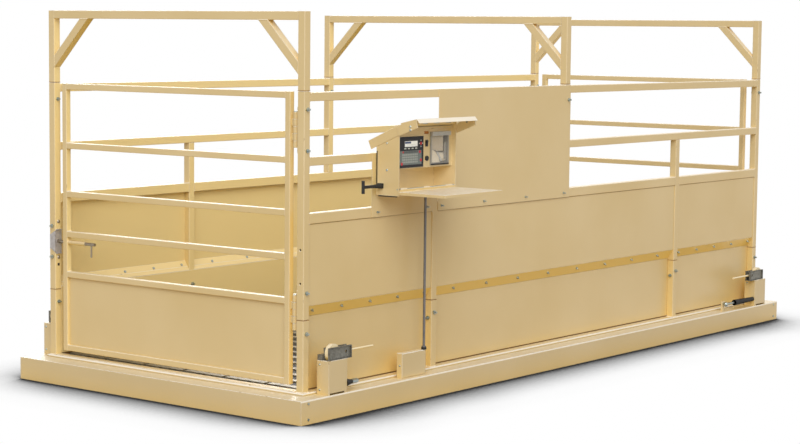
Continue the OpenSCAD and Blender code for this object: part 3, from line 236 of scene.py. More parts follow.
# Deck cleats
# Short flat bars welded across the deck for grip.
# Their tops are scuffed back to pale metal and primer.
scuffed, tree, shader, where = finish("scuffed_primer", metallic=0.2, roughness=0.5)
scuff = add(tree, "ShaderNodeTexNoise", None, {"Vector": where, "Scale": 1000 / 40, "Detail": 6})
pale = add(tree, "ShaderNodeValToRGB", None, {"Fac": scuff.outputs["Fac"]})
for stop, at, code in zip(pale.color_ramp.elements, (0.35, 0.6), ("#7F7A6E", "#B5B0A2")):
    stop.position = at
    stop.color = linear(code)
tree.links.new(pale.outputs["Color"], shader.inputs["Base Color"])
dress(scuffed, "deck_cleats")

# Stub posts, posts, rails and arches
# Square steel tube with rounded corners, cut and welded.
# It is sprayed with the same gloss enamel as the base.
ARCHES = ("arch_front", "arch_middle", "arch_rear")
GATES = ("front_gate", "rear_gate")
enamel_on_tube = enamel("gloss_enamel_on_tube", 260, 0.25, 4)
dress(enamel_on_tube, "stub_posts", "post_spigots", "rack_posts", "rack_rails", *ARCHES)
dress(enamel_on_tube, "front_gate_frame", "rear_gate_frame")

# Weld beads
# Fillet welds of 5 mm leg at the foot of the posts and where rails meet posts, painted over.
# Each bead follows its seam and swells in even ripples, as a hand-fed torch leaves it.


# The box of each separate solid of a node, in a fixed order.
def solids(node):
    shape = bmesh.new()
    shape.from_mesh(frame["nodes"][node].data)
    bmesh.ops.remove_doubles(shape, verts=shape.verts, dist=1e-5)
    rest = set(shape.verts)
    boxes = []
    while rest:
        reached = [rest.pop()]
        points = []
        while reached:
            vert = reached.pop()
            points.append(vert.co.copy())
            for link in vert.link_edges:
                other = link.other_vert(vert)
                if other in rest:
                    rest.remove(other)
                    reached.append(other)
        boxes.append((Vector(map(min, zip(*points))), Vector(map(max, zip(*points)))))
    shape.free()
    return sorted(boxes, key=lambda b: tuple(b[0]) + tuple(b[1]))


# An empty tree with a seed, named sizes and a finish as its inputs.
def new_tree(name, **sizes):
    tree = bpy.data.node_groups.new(name, "GeometryNodeTree")
    tree.interface.new_socket("Seed", in_out="INPUT", socket_type="NodeSocketGeometry")
    for key, start in sizes.items():
        kind = "NodeSocketInt" if isinstance(start, int) else "NodeSocketFloat"
        socket = tree.interface.new_socket(key.replace("_", " "), in_out="INPUT", socket_type=kind)
        socket.default_value = start
    tree.interface.new_socket("Finish", in_out="INPUT", socket_type="NodeSocketMaterial")
    tree.interface.new_socket("Mesh", in_out="OUTPUT", socket_type="NodeSocketGeometry")
    return tree, add(tree, "NodeGroupInput").outputs, add(tree, "NodeGroupOutput").inputs


# The end of every tree: copies made real, with the finish on them.
def close_tree(tree, shape, given, result):
    real = add(tree, "GeometryNodeRealizeInstances", None, {"Geometry": shape})
    coated = add(tree, "GeometryNodeSetMaterial", None,
                 {"Geometry": real.outputs["Geometry"], "Material": given["Finish"]})
    tree.links.new(coated.outputs["Geometry"], result["Mesh"])


# The seed's lines as fine curves, with a wave that repeats along them.
def rippled_path(tree, given, step, pitch):
    line = add(tree, "GeometryNodeMeshToCurve", None, {"Mesh": given["Seed"]})
    fine = add(tree, "GeometryNodeResampleCurve", {"mode": "LENGTH"},
               {"Curve": line.outputs["Curve"], "Length": step})
    along = add(tree, "GeometryNodeSplineParameter").outputs
    turn = add(tree, "ShaderNodeMath", {"operation": "DIVIDE"}, {0: along["Length"], 1: given[pitch]})
    angle = add(tree, "ShaderNodeMath", TIMES, {0: turn.outputs["Value"], 1: math.tau})
    swing = add(tree, "ShaderNodeMath", {"operation": "SINE"}, {0: angle.outputs["Value"]})
    return fine.outputs["Curve"], along["Factor"], swing.outputs["Value"]


# A closed round skin along a curve.
def round_skin(tree, given, curve, radius):
    ring = add(tree, "GeometryNodeCurvePrimitiveCircle", None, {"Resolution": given["Sides"], "Radius": 1.0})
    tube = add(tree, "GeometryNodeCurveToMesh", None,
               {"Curve": curve, "Profile Curve": ring.outputs["Curve"], "Scale": radius, "Fill Caps": True})
    return tube.outputs["Mesh"]


# A tree's result on a seed, kept as a plain mesh that rides its body.
def grow(name, tree, seed, material, body, slot, **sizes):
    carrier = bpy.data.objects.new("carrier", seed)
    bpy.context.scene.collection.objects.link(carrier)
    change = carrier.modifiers.new("grow", "NODES")
    change.node_group = tree
    for item in tree.interface.items_tree:
        if item.in_out == "INPUT" and item.name.replace(" ", "_") in sizes:
            change[item.identifier] = sizes[item.name.replace(" ", "_")]
        if item.name == "Finish":
            change[item.identifier] = material
    bpy.context.view_layer.update()
    mesh = bpy.data.meshes.new_from_object(carrier.evaluated_get(bpy.context.evaluated_depsgraph_get()))
    bpy.data.objects.remove(carrier)
    mesh.name = name
    made = bpy.data.objects.new(name, mesh)
    bpy.context.scene.collection.objects.link(made)
    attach(made, body)


# Loose lines, each through its own points.
def paths_mesh(name, paths):
    points, links = [], []
    for path in paths:
        links += [(len(points) + i, len(points) + i + 1) for i in range(len(path) - 1)]
        points += path
    mesh = bpy.data.meshes.new(name)
    mesh.from_pydata(points, links, [])
    return mesh


bead, given, result = new_tree("weld_bead", Radius=0.003, Ripple=0.005, Sides=6)
curve, factor, swing = rippled_path(bead, given, 0.0025, "Ripple")
swell = add(bead, "ShaderNodeMapRange", None, {"Value": swing, "From Min": -1, "From Max": 1, "To Min": 0.8})
thick = add(bead, "ShaderNodeMath", TIMES, {0: swell.outputs["Result"], 1: given["Radius"]})
skin = round_skin(bead, given, curve, thick.outputs["Value"])
soft = add(bead, "GeometryNodeSetShadeSmooth", None, {"Geometry": skin})
close_tree(bead, soft.outputs["Geometry"], given, result)

SEAM_INSET = 0.0005
BEAD_INSET = 0.002
BRACE_WIDEST = 0.5
BRACE_TALLEST = 0.4
BRACE_BEAD = 0.07
BRACE_TOP_SHARE = 0.24
GATE_RAIL_SHORTEST = 0.5
seams = []
for low, high in solids("stub_posts"):
    z = low.z + SEAM_INSET
    start = (low.x, low.y, z)
    seams.append([start, (high.x, low.y, z), (high.x, high.y, z), (low.x, high.y, z), start])
for low, high in solids("rack_rails"):
    inner, outer = (low.y, high.y) if low.y > 0 else (high.y, low.y)
    if high.x - low.x > high.z - low.z:
        for x in (low.x + SEAM_INSET, high.x - SEAM_INSET):
            seams.append([(x, outer, high.z), (x, inner, high.z), (x, inner, low.z), (x, outer, low.z)])
for arch in ARCHES:
    for low, high in solids(arch):
        if high.y - low.y < BRACE_WIDEST and high.z - low.z < BRACE_TALLEST:
            wall, out = (low.y, high.y) if low.y < 0 else (high.y, low.y)
            for x in (low.x, high.x):
                seams.append([(x, wall, low.z + BEAD_INSET), (x, wall, low.z + BRACE_BEAD)])
                seams.append([(x, out, high.z), (x, out + (wall - out) * BRACE_TOP_SHARE, high.z)])
grow("frame_welds", bead, paths_mesh("frame_seams", seams), enamel_on_tube, "crate", "beige_paint")
for gate in GATES:
    seams = []
    for low, high in solids(gate + "_frame"):
        if high.y - low.y > max(high.z - low.z, GATE_RAIL_SHORTEST):
            for y in (low.y + SEAM_INSET, high.y - SEAM_INSET):
                for z in (low.z, high.z):
                    seams.append([(low.x + BEAD_INSET, y, z), (high.x - BEAD_INSET, y, z)])
    grow(gate + "_welds", bead, paths_mesh(gate + "_seams", seams), enamel_on_tube, gate, "beige_paint")

# Post joints
# Posts stand on the stubs and arches on the posts, each over a spigot inside the tube.
# A rust line 3 mm high shows where the paint has cracked at the joint.
SEED_SIZE = 0.001
ARCH_LEG_WIDEST = 0.06
LINE_PROUD = 0.0003


# One small triangle for each place and direction.
def spots_mesh(name, spots):
    points, faces = [], []
    for place, facing in spots:
        side = Vector(facing).orthogonal().normalized() * SEED_SIZE
        other = Vector(facing).normalized().cross(side)
        faces.append((len(points), len(points) + 1, len(points) + 2))
        points += [Vector(place), Vector(place) + side, Vector(place) + other]
    mesh = bpy.data.meshes.new(name)
    mesh.from_pydata(points, [], faces)
    return mesh


# A copy of a shape at the first corner of each triangle, turned the way it faces.
def stamp(tree, given, result, shape):
    order = add(tree, "GeometryNodeInputIndex")
    third = add(tree, "ShaderNodeMath", {"operation": "MODULO"}, {0: order.outputs[0], 1: 3.0})
    first = add(tree, "FunctionNodeCompare", {"operation": "LESS_THAN"}, {0: third.outputs[0], 1: 0.5})
    facing = add(tree, "GeometryNodeInputNormal")
    turned = add(tree, "FunctionNodeAlignRotationToVector", {"axis": "Z"},
                 {"Vector": facing.outputs["Normal"]})
    copies = add(tree, "GeometryNodeInstanceOnPoints", None,
                 {"Points": given["Seed"], "Selection": first.outputs[0], "Instance": shape,
                  "Rotation": turned.outputs["Rotation"]})
    close_tree(tree, copies.outputs["Instances"], given, result)


# One flat colour with fine flecks a little lighter.
def ink(name, code, dullness):
    made, tree, shader, where = finish(name, roughness=dullness)
    fleck = add(tree, "ShaderNodeTexNoise", None, {"Vector": where, "Scale": 1000 / 3, "Detail": 3})
    lighter = [c * 1.25 for c in linear(code)[:3]] + [1]
    tone = add(tree, "ShaderNodeMix", BLEND, {0: fleck.outputs["Fac"], 6: linear(code), 7: lighter})
    tree.links.new(tone.outputs[2], shader.inputs["Base Color"])
    return made


crack, given, result = new_tree("joint_line", Width=0.1, Height=0.003)
span = add(crack, "ShaderNodeCombineXYZ", None,
           {"X": given["Width"], "Y": given["Width"], "Z": given["Height"]})
line = add(crack, "GeometryNodeMeshCube", None, {"Size": span.outputs[0]})
stamp(crack, given, result, line.outputs["Mesh"])
post_low, post_high = min(solids("rack_posts"), key=lambda b: b[0].x)
joints = []
for low, high in solids("stub_posts"):
    joints.append((((low.x + high.x) / 2, (low.y + high.y) / 2, high.z), (0, 0, 1)))
for arch in ARCHES:
    for low, high in solids(arch):
        if high.y - low.y < ARCH_LEG_WIDEST:
            joints.append((((low.x + high.x) / 2, (low.y + high.y) / 2, low.z), (0, 0, 1)))
grow("joint_lines", crack, spots_mesh("joint_spots", joints), ink("rusty_joint_line", "#8A5A22", 0.7),
     "crate", "beige_paint", Width=post_high.x - post_low.x + 2 * LINE_PROUD)

# The two spare holes in the near front post, and in the far rear one, look into the dark of the tube, which a
# dark disc just inside each hole paints as shade.
HOLE_DEPTH = 0.0055
DISC_THICK = 0.0006
pattern = next(m for m in frame["record"]["mounts"] if m["name"] == "post_holes")
x, y, z = pattern["pos_m"]
spread = pattern["dims"]["spacing_y_mm"] / 2000
backs = []
for way in (1, -1):
    for rise in (-spread, spread):
        backs.append(((way * (x + HOLE_DEPTH), way * y, z + rise), (-way, 0, 0)))
grow("post_hole_backs", crack, spots_mesh("post_hole_spots", backs), ink("dark_tube_inside", "#20160C", 0.9),
     "crate", "beige_paint", Width=0.022, Height=DISC_THICK)

# Side sheets, panels and gate sheets
# Cold-rolled sheet, 3 mm, folded along the ledge and set inside the tube frames.
# It is painted with the frames.
SHEET = (420, 1.6, 3)
dress(enamel("gloss_enamel_on_sheet", *SHEET), "upper_sheets", "lower_panels", "operator_panel",
      "instrument_backplate", "front_gate_sheet", "rear_gate_sheet")
# The ledge faces down and out, so it takes a stronger painted bounce light below.
dress(enamel("gloss_enamel_on_ledge", *SHEET, bounce_below_code="#FFDB74"), "ledge_strips")

# A brown strip in the slot between the foot of each lower panel and the deck paints the shadow there.
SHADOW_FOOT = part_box("deck_plate")[1][2] + 0.0003
SHADOW_LENGTH = 5.336
SHADOW_SLACK = 0.0004
PANEL_SHORTEST = 5
panels = [(low, high) for low, high in solids("lower_panels") if high.x - low.x > PANEL_SHORTEST]
crease, given, result = new_tree("mastic_strip", Length=5.0, Thick=0.002, Tall=0.01)
span = add(crease, "ShaderNodeCombineXYZ", None,
           {"X": given["Length"], "Y": given["Thick"], "Z": given["Tall"]})
strip = add(crease, "GeometryNodeMeshCube", None, {"Size": span.outputs[0]})
stamp(crease, given, result, strip.outputs["Mesh"])
feet = [((0, (low.y + high.y) / 2, (SHADOW_FOOT + low.z) / 2), (0, 0, 1)) for low, high in panels]
gap_shadow = ink("brown_mastic", "#76562A", 0.8)
grow("panel_seals", crease, spots_mesh("seal_spots", feet), gap_shadow, "crate", "beige_paint",
     Length=SHADOW_LENGTH, Tall=panels[0][0].z - SHADOW_FOOT - SHADOW_SLACK)

# A thin line of it also paints the shadow along the top and one upright edge of each upper sheet.
SEAM = 0.0025
SEAM_THICK = 0.0008
tops, uprights = {}, []
for low, high in solids("upper_sheets"):
    y, x = (low.y, low.x + SEAM / 2) if low.y < 0 else (high.y, high.x - SEAM / 2)
    length, tall = round(high.x - low.x, 3), high.z - low.z
    tops.setdefault(length, []).append((((low.x + high.x) / 2, y, high.z - SEAM / 2), (0, 0, 1)))
    uprights.append(((x, y, (low.z + high.z) / 2), (0, 0, 1)))
for length, places in tops.items():
    grow(f"top_seams_{round(length * 1000)}", crease, spots_mesh("top_seam_spots", places), gap_shadow,
         "crate", "beige_paint", Length=length, Thick=SEAM_THICK, Tall=SEAM)
grow("upright_seams", crease, spots_mesh("upright_seam_spots", uprights), gap_shadow,
     "crate", "beige_paint", Length=SEAM, Thick=SEAM_THICK, Tall=tall)

# Bolts, screws, hinge pins and latch rods
# Carbon steel with bright zinc plating, a little blue with faint yellow patches from the passivation.
# The latch rods are plain steel, brown.
zinc, tree, shader, where = finish("bright_zinc_plate", metallic=1.0)
bloom = add(tree, "ShaderNodeTexNoise", None, {"Vector": where, "Scale": 1000 / 14, "Detail": 3})
cast = add(tree, "ShaderNodeValToRGB", None, {"Fac": bloom.outputs["Fac"]})
for stop, at, code in zip(cast.color_ramp.elements, (0.3, 0.7), ("#8FA0A8", "#B9B8A8")):
    stop.position = at
    stop.color = linear(code)
tree.links.new(cast.outputs["Color"], shader.inputs["Base Color"])
dulled = add(tree, "ShaderNodeMapRange", None, {"Value": bloom.outputs["Fac"], "To Min": 0.22, "To Max": 0.5})
tree.links.new(dulled.outputs["Result"], shader.inputs["Roughness"])
dress(zinc, "frame_bolts", "ledge_screws", "hinge_pins", "check_rods", "enclosure_pins")
brown_steel = two_tone("handled_plain_steel", "#7C6E5A", "#A59B8B", 20, 4, metallic=0.8, roughness=0.4)
dress(brown_steel, "front_latch_rod", "rear_latch_rod")

# Cover screws
# Pan head screws on the ends of the lock boxes, the junction box, the enclosure wall and the lid's
# cheeks. Each one stands on a small seed triangle, which gives its place and its direction.
HOUSING_SHORTEST = 0.15
FROM_BACK, FROM_FOOT, FROM_TOP = 0.02, 0.027, 0.025
WALL_SCREW_Y = -1.150
WALL_SCREW_HEIGHTS = (1.414, 1.574)
LID_SCREW_Y = -1.329
LID_SCREW_HEIGHTS = (1.658, 1.678)
RIVET_Y, RIVET_Z = -1.316, 1.690
screw, given, result = new_tree("pan_head_screw", Radius=0.007, Height=0.004, Sides=20)
crown = add(screw, "ShaderNodeMath", TIMES, {0: given["Radius"], 1: 0.6})
head = add(screw, "GeometryNodeMeshCone", None,
           {"Vertices": given["Sides"], "Radius Top": crown.outputs[0], "Radius Bottom": given["Radius"],
            "Depth": given["Height"]})
stamp(screw, given, result, head.outputs["Mesh"])

spots = []
for low, high in solids("lock_housings"):
    if high.z - low.z > HOUSING_SHORTEST:
        y = high.y - FROM_BACK
        for z in (low.z + FROM_FOOT, high.z - FROM_TOP):
            spots += [((low.x, y, z), (-1, 0, 0)), ((high.x, y, z), (1, 0, 0))]
low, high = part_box("junction_box")
y, z = (low[1] + high[1]) / 2, (low[2] + high[2]) / 2
spots += [((low[0], y, z), (-1, 0, 0)), ((high[0], y, z), (1, 0, 0))]
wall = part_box("enclosure_shell")[0][0]
spots += [((wall, WALL_SCREW_Y, z), (-1, 0, 0)) for z in WALL_SCREW_HEIGHTS]
grow("cover_screws", screw, spots_mesh("cover_spots", spots), zinc, "crate", "zinc_steel")
low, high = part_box("enclosure_lid")
spots = [((low[0], LID_SCREW_Y, z), (-1, 0, 0)) for z in LID_SCREW_HEIGHTS]
spots += [((high[0], LID_SCREW_Y, z), (1, 0, 0)) for z in LID_SCREW_HEIGHTS]
grow("lid_screws", screw, spots_mesh("lid_spots", spots), zinc, "lid", "zinc_steel", Radius=0.008)
spots = [((high[0] - 0.003, RIVET_Y, RIVET_Z), (-1, 0, 0))]
grow("flush_rivet", screw, spots_mesh("rivet_spot", spots), zinc, "lid", "zinc_steel",
     Radius=0.008, Height=0.0003)

# Hinge brackets and knuckles
# Plate brackets and turned knuckles, welded to the posts and gates.
# They are painted with the frame.
dress(enamel_on_tube, "hinge_brackets", "front_gate_knuckles", "rear_gate_knuckles")

# Latch keepers and lock hubs
# Hot-dip galvanised plate and channel with a faint spangle about 12 mm across. The keepers are still
# pale grey, and the hubs have weathered to a dull grey. The rims of both are darkened with painted shade,
# most on the hubs.


def galvanised(name, dark, light, stain_code, stain_most, rim_shade_most):
    made, tree, shader, where = finish(name, metallic=0.45)
    spangle = add(tree, "ShaderNodeTexVoronoi", None, {"Vector": where, "Scale": 1000 / 12})
    stain = add(tree, "ShaderNodeTexNoise", None, {"Vector": where, "Scale": 1000 / 30, "Detail": 5})
    stained = add(tree, "ShaderNodeMapRange", None,
                  {"Value": stain.outputs["Fac"], "From Min": 0.5, "From Max": 0.75, "To Max": stain_most})
    # Edges are darkened toward near-black: painted shade on the rims.
    rounded = add(tree, "ShaderNodeBevel", {"samples": 4}, {"Radius": 0.005})
    flat = add(tree, "ShaderNodeNewGeometry")
    bend = add(tree, "ShaderNodeVectorMath", {"operation": "DOT_PRODUCT"},
               {0: rounded.outputs["Normal"], 1: flat.outputs["True Normal"]})
    edge = add(tree, "ShaderNodeMapRange", None,
               {"Value": bend.outputs["Value"], "From Min": 0.995, "From Max": 0.9, "To Max": rim_shade_most})
    coat(tree, shader, linear(dark), [(spangle.outputs["Color"], light),
                                      (stained.outputs["Result"], stain_code),
                                      (edge.outputs["Result"], "#33312C")])
    matt = add(tree, "ShaderNodeMapRange", None,
               {"Value": stain.outputs["Fac"], "To Min": 0.35, "To Max": 0.65})
    tree.links.new(matt.outputs["Result"], shader.inputs["Roughness"])
    return made


dress(galvanised("pale_galvanised_steel", "#A7A3A3", "#BEBABA", "#8F877F", 0.35, 0.15), "latch_keepers")
dress(galvanised("weathered_galvanised_steel", "#6C6B64", "#8B8A83", "#4A4136", 0.45, 0.85), "lock_hubs")

# Spare holes and nuts by the keepers
# Each latch post has an unused hole and two set nuts on its inner face.
# The nuts sit above and below the keeper, and the hole below them.
LATCH_POST_X = 2.688
LATCH_POST_FACE = 1.016
NUT_BELOW, NUT_ABOVE, HOLE_BELOW = 0.024, 0.048, 0.070
nuts, holes = [], []
for low, high in solids("latch_keepers"):
    way = -1 if low.y > 0 else 1
    x, y = way * LATCH_POST_X, -way * LATCH_POST_FACE
    nuts += [((x, y, low.z - NUT_BELOW), (0, way, 0)), ((x, y, high.z + NUT_ABOVE), (0, way, 0))]
    holes.append(((x, y, low.z - HOLE_BELOW), (0, way, 0)))
grow("keeper_nuts", screw, spots_mesh("nut_spots", nuts), brown_steel, "crate", "zinc_steel",
     Radius=0.013, Height=0.007, Sides=6)
# Each spare hole is a flat dark disc on the post's face, painted shade for the hole.
grow("spare_holes", crack, spots_mesh("hole_spots", holes), ink("dark_hole", "#2A1B0C", 0.8),
     "crate", "beige_paint", Width=0.017, Height=DISC_THICK)

# Corner locks and junction box
# A folded box with a galvanised hub on top, and a cam lever with a rod handle that swings over.
# Boxes are painted with the base, and the levers with a paler enamel.
dress(enamel_on_channel, "lock_housings", "junction_box")
dress(enamel("hand_worn_enamel", 260, 0.1, 2, "#E6D6AE", "#EDE0C0"),
      "lever_near_front", "lever_near_rear", "lever_far_front", "lever_far_rear")

# Boots and bumpers on the check rods
# Moulded black rubber, sooty with a waxy bloom: a tapered ribbed boot over each rod, and a cone
# bumper at the other corners.
rubber = two_tone("moulded_black_rubber", "#121212", "#2B2A29", 18, 6, (0.45, 0.75), specular_ior_level=0.4)
dress(rubber, "rubber_boots", "strap_anchor", "strap_latch")

BOOT_SHORTEST = 0.2
ribs, given, result = new_tree("ribbed_sleeve", Start_radius=0.015, End_radius=0.021, Rib_pitch=0.012,
                               Rib_depth=0.0015, Sides=24)
curve, factor, swing = rippled_path(ribs, given, 0.002, "Rib pitch")
taper = add(ribs, "ShaderNodeMapRange", None,
            {"Value": factor, "To Min": given["Start radius"], "To Max": given["End radius"]})
lift = add(ribs, "ShaderNodeMath", {"operation": "MULTIPLY_ADD"},
           {0: swing, 1: given["Rib depth"], 2: taper.outputs["Result"]})
close_tree(ribs, round_skin(ribs, given, curve, lift.outputs["Value"]), given, result)
boots, cones = [], []
for low, high in solids("rubber_boots"):
    middle = (low + high) / 2
    ends = sorted(((low.x, middle.y, middle.z), (high.x, middle.y, middle.z)), key=lambda e: -abs(e[0]))
    (boots if high.x - low.x > BOOT_SHORTEST else cones).append(ends)
grow("boot_ribs", ribs, paths_mesh("boot_lines", boots), rubber, "crate", "black_rubber")
grow("bumper_ribs", ribs, paths_mesh("bumper_lines", cones), rubber, "crate", "black_rubber",
     Start_radius=0.0245, End_radius=0.0115, Rib_pitch=0.02, Rib_depth=0.001)

# Strap latch
# A moulded rubber strap on an anchor of the enclosure's wall.
# It is thickest where it leaves its anchor, and its pull bar is round.
ROOT_START, ROOT_END, PULL_IN = 0.004, 0.095, 0.007
low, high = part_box("strap_latch")
y, z = (low[1] + high[1]) / 2, (low[2] + high[2]) / 2
root = [(high[0] - ROOT_START, y, z), (high[0] - ROOT_END, y, z)]
grow("strap_root", ribs, paths_mesh("strap_line", [root]), rubber, "strap", "black_rubber",
     Start_radius=0.0155, End_radius=0.0072, Rib_pitch=0.016, Rib_depth=0.0008)
pull = [(low[0] + PULL_IN, y, low[2]), (low[0] + PULL_IN, y, high[2])]
grow("strap_grip", ribs, paths_mesh("grip_line", [pull]), rubber, "strap", "black_rubber",
     Start_radius=0.0095, End_radius=0.0095, Rib_pitch=0.012, Rib_depth=0.0006)

# Instrument enclosure
# Folded sheet box with a sloped roof, a lid that folds down and a door that opens as a shelf.
# Under its roof and in its recesses the colour is lightened with painted bounce light, and the shelf's top is
# paler with painted light.
BOX_SHEET = (420, 0.6, 3)
enamel_on_box = enamel("gloss_enamel_on_box", *BOX_SHEET, bounce_below_code="#FFE9B4", recess_bounce_code="#FBE6B4")
dress(enamel_on_box, "enclosure_shell", "enclosure_roof", "instrument_board", "enclosure_lid")
dress(enamel("rubbed_enamel_on_shelf", *BOX_SHEET, dust_and_light_most=1.2, bounce_below_code="#F8DC9A"), "enclosure_shelf")


# Flat plates with outlines in X and Z, between two depths in Y.
def plates_mesh(name, outlines, y0, y1, material, body):
    points, faces = [], []
    for outline in outlines:
        n, at = len(outline), len(points)
        points += [(x, y0, z) for x, z in outline] + [(x, y1, z) for x, z in outline]
        faces.append(tuple(range(at, at + n)))
        faces.append(tuple(range(at + 2 * n - 1, at + n - 1, -1)))
        faces += [(at + i, at + n + i, at + n + (i + 1) % n, at + (i + 1) % n) for i in range(n)]
    mesh = bpy.data.meshes.new(name)
    mesh.from_pydata(points, [], faces)
    shape = bmesh.new()
    shape.from_mesh(mesh)
    bmesh.ops.recalc_face_normals(shape, faces=shape.faces)
    shape.to_mesh(mesh)
    shape.free()
    mesh.materials.append(material)
    made = bpy.data.objects.new(name, mesh)
    bpy.context.scene.collection.objects.link(made)
    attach(made, body)


# The outline of an upright rectangle.
def square(x0, x1, z0, z1):
    return [(x0, z0), (x1, z0), (x1, z1), (x0, z1)]


# A black rubber strip under the box paints the dark shadow line where the shelf folds against it.
STRIP_BACK = -1.085
low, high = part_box("enclosure_shell")
plates_mesh("floor_seal", [square(low[0] + 0.001, low[0] + 0.012, low[2] - 0.007, low[2] - 0.0002)],
            low[1] + 0.02, STRIP_BACK, rubber, "crate")

# A deep orange plate in the catch pocket over the switch paints the shade there, the board's top edge is
# flanged, and a dark strip in the gap behind the left wall paints its shadow.
CATCH_FOOT, CATCH_TOP, CATCH_HALF = 1.6205, 1.6375, 0.0225
GAP_FOOT, GAP_TOP = 1.311, 1.524
GAP_FRONT, GAP_BACK = -1.0785, -1.0735
face, board_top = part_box("instrument_board")[0][1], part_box("instrument_board")[1][2]
switch_low, switch_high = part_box("power_switch")
middle = (switch_low[0] + switch_high[0]) / 2
plates_mesh("catch_lining", [square(middle - CATCH_HALF, middle + CATCH_HALF, CATCH_FOOT, CATCH_TOP)],
            face + 0.002, face + 0.0028, ink("deep_orange_lining", "#A4661C", 0.6), "crate")
plates_mesh("board_flange", [square(low[0] + 0.005, high[0] - 0.005, board_top + 0.0003, board_top + 0.0125)],
            face, face + 0.002, enamel_on_box, "crate")
plates_mesh("back_seal", [square(low[0] - 0.004, low[0] - 0.0003, GAP_FOOT, GAP_TOP)],
            GAP_FRONT, GAP_BACK, rubber, "crate")

# A thin pale strip lies along the outer face of the lid's sloped front lip.
LIP_TOP = Vector((0, -1.3752, 1.7237))
LIP_FOOT = Vector((0, -1.3971, 1.7000))
STRIP_THICK = Vector((0, -0.734, 0.679)) * 0.0005
lip_low, lip_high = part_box("enclosure_lid")
corners = []
for x in (lip_low[0] + 0.001, lip_high[0] - 0.001):
    for corner in (LIP_TOP, LIP_FOOT, LIP_FOOT + STRIP_THICK, LIP_TOP + STRIP_THICK):
        corners.append(Vector((x, 0, 0)) + corner)
strip = bpy.data.meshes.new("lid_weather_strip")
sides = [(0, 3, 2, 1), (4, 5, 6, 7), (0, 1, 5, 4), (1, 2, 6, 5), (2, 3, 7, 6), (3, 0, 4, 7)]
strip.from_pydata(corners, [], sides)
strip.materials.append(ink("chalky_vinyl_strip", "#DED6C6", 0.5))
lid_strip = bpy.data.objects.new("lid_weather_strip", strip)
bpy.context.scene.collection.objects.link(lid_strip)
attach(lid_strip, "lid")

# Indicator
# Injection-moulded dark plastic case with a fine spark texture, screwed to the board.
# The texture is drawn 2 mm wide, coarser than the real one.
moulded = two_tone("textured_dark_plastic", "#1B1B1E", "#2B2B2F", 2, 2, roughness=0.5,
                   specular_ior_level=0.25)
tree = moulded.node_tree
grain = add(tree, "ShaderNodeBump", None,
            {"Strength": 0.3, "Distance": 0.0003, "Height": tree.nodes["Noise Texture"].outputs["Fac"]})
tree.links.new(grain.outputs["Normal"], tree.nodes["Principled BSDF"].inputs["Normal"])
dress(moulded, "indicator_case", "power_switch", "panel_connector")

# Display and keypad
# A pale liquid crystal window, lit a little from behind, and a grey polyester membrane.
# Both are flush with the case.
glassy = two_tone("liquid_crystal_window", "#D8DEDC", "#E9ECE8", 60, 2, roughness=0.12,
                  emission_color=(1, 1, 1, 1), emission_strength=0.22)
dress(glassy, "indicator_display")
dress(two_tone("grey_polyester_membrane", "#5F6765", "#737B78", 8, 3, roughness=0.4), "indicator_keypad")

# Membrane keys and marks
# Printed keys are raised a little under the film: a block of grey ones, a row of soft keys and five
# red ones. The window shows an unlit heading bar and two pale rules.
key, given, result = new_tree("membrane_key", Width=0.014, Height=0.011, Lift=0.0006)
span = add(key, "ShaderNodeCombineXYZ", None,
           {"X": given["Width"], "Y": given["Height"], "Z": given["Lift"]})
cap = add(key, "GeometryNodeMeshCube", None, {"Size": span.outputs[0]})
stamp(key, given, result, cap.outputs["Mesh"])
button, given, result = new_tree("round_key", Radius=0.0095, Lift=0.0012, Sides=28)
disc = add(button, "GeometryNodeMeshCylinder", None,
           {"Vertices": given["Sides"], "Radius": given["Radius"], "Depth": given["Lift"]})
stamp(button, given, result, disc.outputs["Mesh"])

case_low, case_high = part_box("indicator_case")
glass_low, glass_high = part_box("indicator_display")
face, glass = case_low[1], glass_low[1]
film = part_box("indicator_keypad")[0][1]


# Places on the case count in millimetres from its top left corner.
def on_case(u, v, y):
    return ((case_low[0] + u / 1000, y, case_high[2] - v / 1000), (0, -1, 0))


spots = [on_case(48 + 17 * i, 107 + 14.5 * j, film) for i in range(9) for j in range(4)]
grow("grey_keys", key, spots_mesh("grey_spots", spots), ink("light_grey_key_ink", "#8E9490", 0.4),
     "crate", "keypad_film")
spots = [on_case(66 + 15 * i, 91, film) for i in range(9)]
grow("dark_keys", key, spots_mesh("dark_spots", spots), ink("dark_grey_key_ink", "#454A49", 0.4),
     "crate", "dark_plastic", Width=0.012)
spots = [on_case(70 + 35 * i, 70, face) for i in range(4)]
grow("soft_keys", key, spots_mesh("soft_spots", spots), ink("pale_soft_key_ink", "#B9C1BD", 0.4),
     "crate", "keypad_film", Width=0.02, Height=0.007)
red = ink("red_key_ink", "#B3121F", 0.35)
spots = [on_case(212, 93, film), on_case(222, 143, film), on_case(38, 160, film), on_case(222, 43, face)]
grow("red_keys", button, spots_mesh("red_spots", spots), red, "crate", "keypad_film")
spots = [on_case(50, 91, film)]
grow("small_red_key", button, spots_mesh("small_red_spot", spots), red, "crate", "keypad_film", Radius=0.006)
spots = [on_case(u, v, face) for u, v in ((222, 25), (222, 61), (206, 43), (238, 43))]
grow("arrow_keys", key, spots_mesh("arrow_spots", spots), ink("white_key_ink", "#D5D9D6", 0.4),
     "crate", "keypad_film", Width=0.006, Height=0.006)

